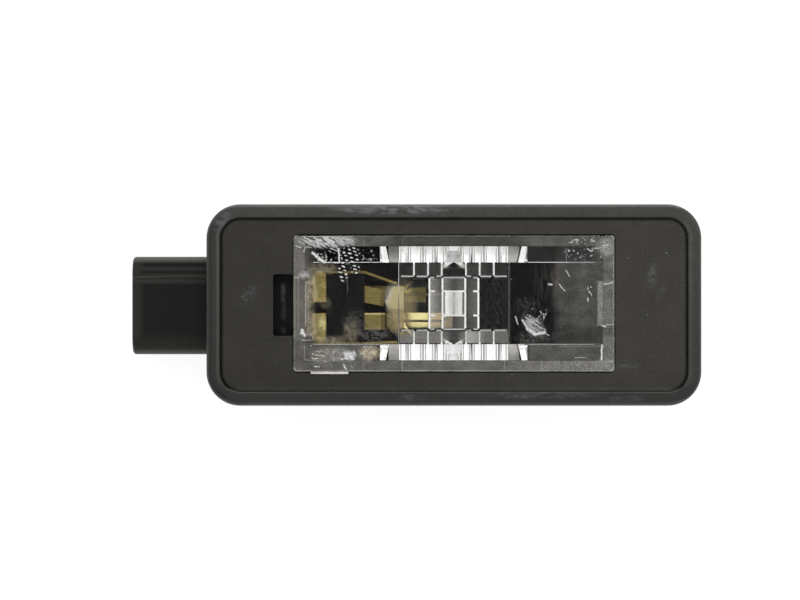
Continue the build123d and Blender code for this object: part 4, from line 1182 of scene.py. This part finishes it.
def neck_film():
    """A low cap over the upper side of the bulb's neck."""
    film = bmesh.new()
    bmesh.ops.create_uvsphere(film, u_segments=48, v_segments=32, radius=1.0 * MM)
    bmesh.ops.scale(film, vec=NECK_CAP, verts=film.verts)
    cuts = (((0.0, 0.0, 0.0), (0, 0, -1)), ((NECK_CUT_X, 0.0, 0.0), (1, 0, 0)))
    for point, normal in cuts:
        bmesh.ops.bisect_plane(
            film, geom=film.verts[:] + film.edges[:] + film.faces[:],
            plane_co=[value * MM for value in point], plane_no=normal, clear_outer=True,
        )
    cap_z = BULB_Z + NECK_R - NECK_CAP[2]
    bmesh.ops.translate(film, vec=(NECK_X * MM, BULB_Y * MM, cap_z * MM), verts=film.verts)
    bmesh.ops.recalc_face_normals(film, faces=film.faces)
    for face in film.faces:
        face.smooth = True
    new_piece("bulb_neck_bloom", film, neck_film_material())


lens_film()
near_marks = SCUFFS_UPPER_LEFT + SCUFFS_LOWER_LEFT + MARKS_NEAR_END
near_scuffs = scuffs("near end scuffs", near_marks, near_textures, SMEARS_NEAR_END)
far_scuffs = scuffs("far end scuffs", SCUFFS_RIGHT + MARKS_FAR_END, far_textures, SMEARS_FAR_END)
sheet_end = LENS_HALF_L - SHEET_MARGIN
middle_film = middle_film_material()
face_sheet("lens_haze_middle", -MIDDLE_SHEET_HALF_L, MIDDLE_SHEET_HALF_L, MIDDLE_LIFT, middle_film)
face_sheet("lens_scuffs_near", -sheet_end, SCUFFS_NEAR_END_X, SCUFFS_LIFT, near_scuffs)
face_sheet("lens_scuffs_far", SCUFFS_FAR_START_X, sheet_end, SCUFFS_LIFT, far_scuffs)
neck_film()


# Studio
def white_floor():
    """A floor that reads as white to the camera and keeps the lamp's soft shadow."""
    floor_z = cad_box[0][2] - FLOOR_GAP * MM
    bpy.ops.mesh.primitive_plane_add(size=FLOOR_SIZE, location=(0, 0, floor_z))
    floor = bpy.context.object
    floor.name = "floor"
    white, shader = new_material("white floor")
    shader.inputs["Base Color"].default_value = (0.3, 0.3, 0.3, 1)
    shader.inputs["Roughness"].default_value = 0.9
    shader.inputs["Specular IOR Level"].default_value = 0.0
    shader.inputs["Emission Color"].default_value = (1, 1, 1, 1)
    light_path = shader.id_data.nodes.new("ShaderNodeLightPath")
    seen = math("ADD", light_path.outputs["Is Camera Ray"], light_path.outputs["Is Glossy Ray"])
    seen = math("ADD", seen, light_path.outputs["Is Transmission Ray"], clamp=True)
    plug(math("MULTIPLY", seen, FLOOR_GLOW), shader.inputs["Emission Strength"])
    floor.data.materials.append(white)


def studio_world():
    """A soft tent of light, brighter from the upper right, with a small dim patch straight above."""
    world = bpy.data.worlds.new("studio")
    scene.world = world
    world.use_nodes = True
    tree = world.node_tree
    background = tree.nodes["Background"]
    coords = tree.nodes.new("ShaderNodeTexCoord")
    x, y, z = split(coords.outputs["Generated"])
    rise = step(z, -0.1, 0.55, 0.35, 0.82)
    zenith = step(z, 0.9905, 0.9955, 1.0, 0.03)
    ring = step(z, 0.8, 0.93, 1.0, 1.45)
    lean = math("MULTIPLY_ADD", y, 0.55, math("MULTIPLY_ADD", x, 0.22, 1.0))
    plug(product(rise, zenith, ring, lean), background.inputs["Strength"])
    background.inputs["Color"].default_value = (1.0, 0.995, 0.985, 1)


def overhead_camera():
    """A camera straight above, a little towards the connector."""
    camera_data = bpy.data.cameras.new("camera")
    camera = bpy.data.objects.new("camera", camera_data)
    scene.collection.objects.link(camera)
    scene.camera = camera
    camera_data.sensor_width = 36.0
    camera_data.lens = camera_data.sensor_width * CAMERA_HEIGHT * PIXELS_PER_METRE / PICTURE_WIDTH
    camera_data.clip_start = 0.01
    camera_data.clip_end = 20.0
    middle_x, middle_y = (pixels / PIXELS_PER_METRE for pixels in PICTURE_MIDDLE)
    camera.location = (middle_x, middle_y, FACE_Z * MM + CAMERA_HEIGHT)


white_floor()
studio_world()
overhead_camera()
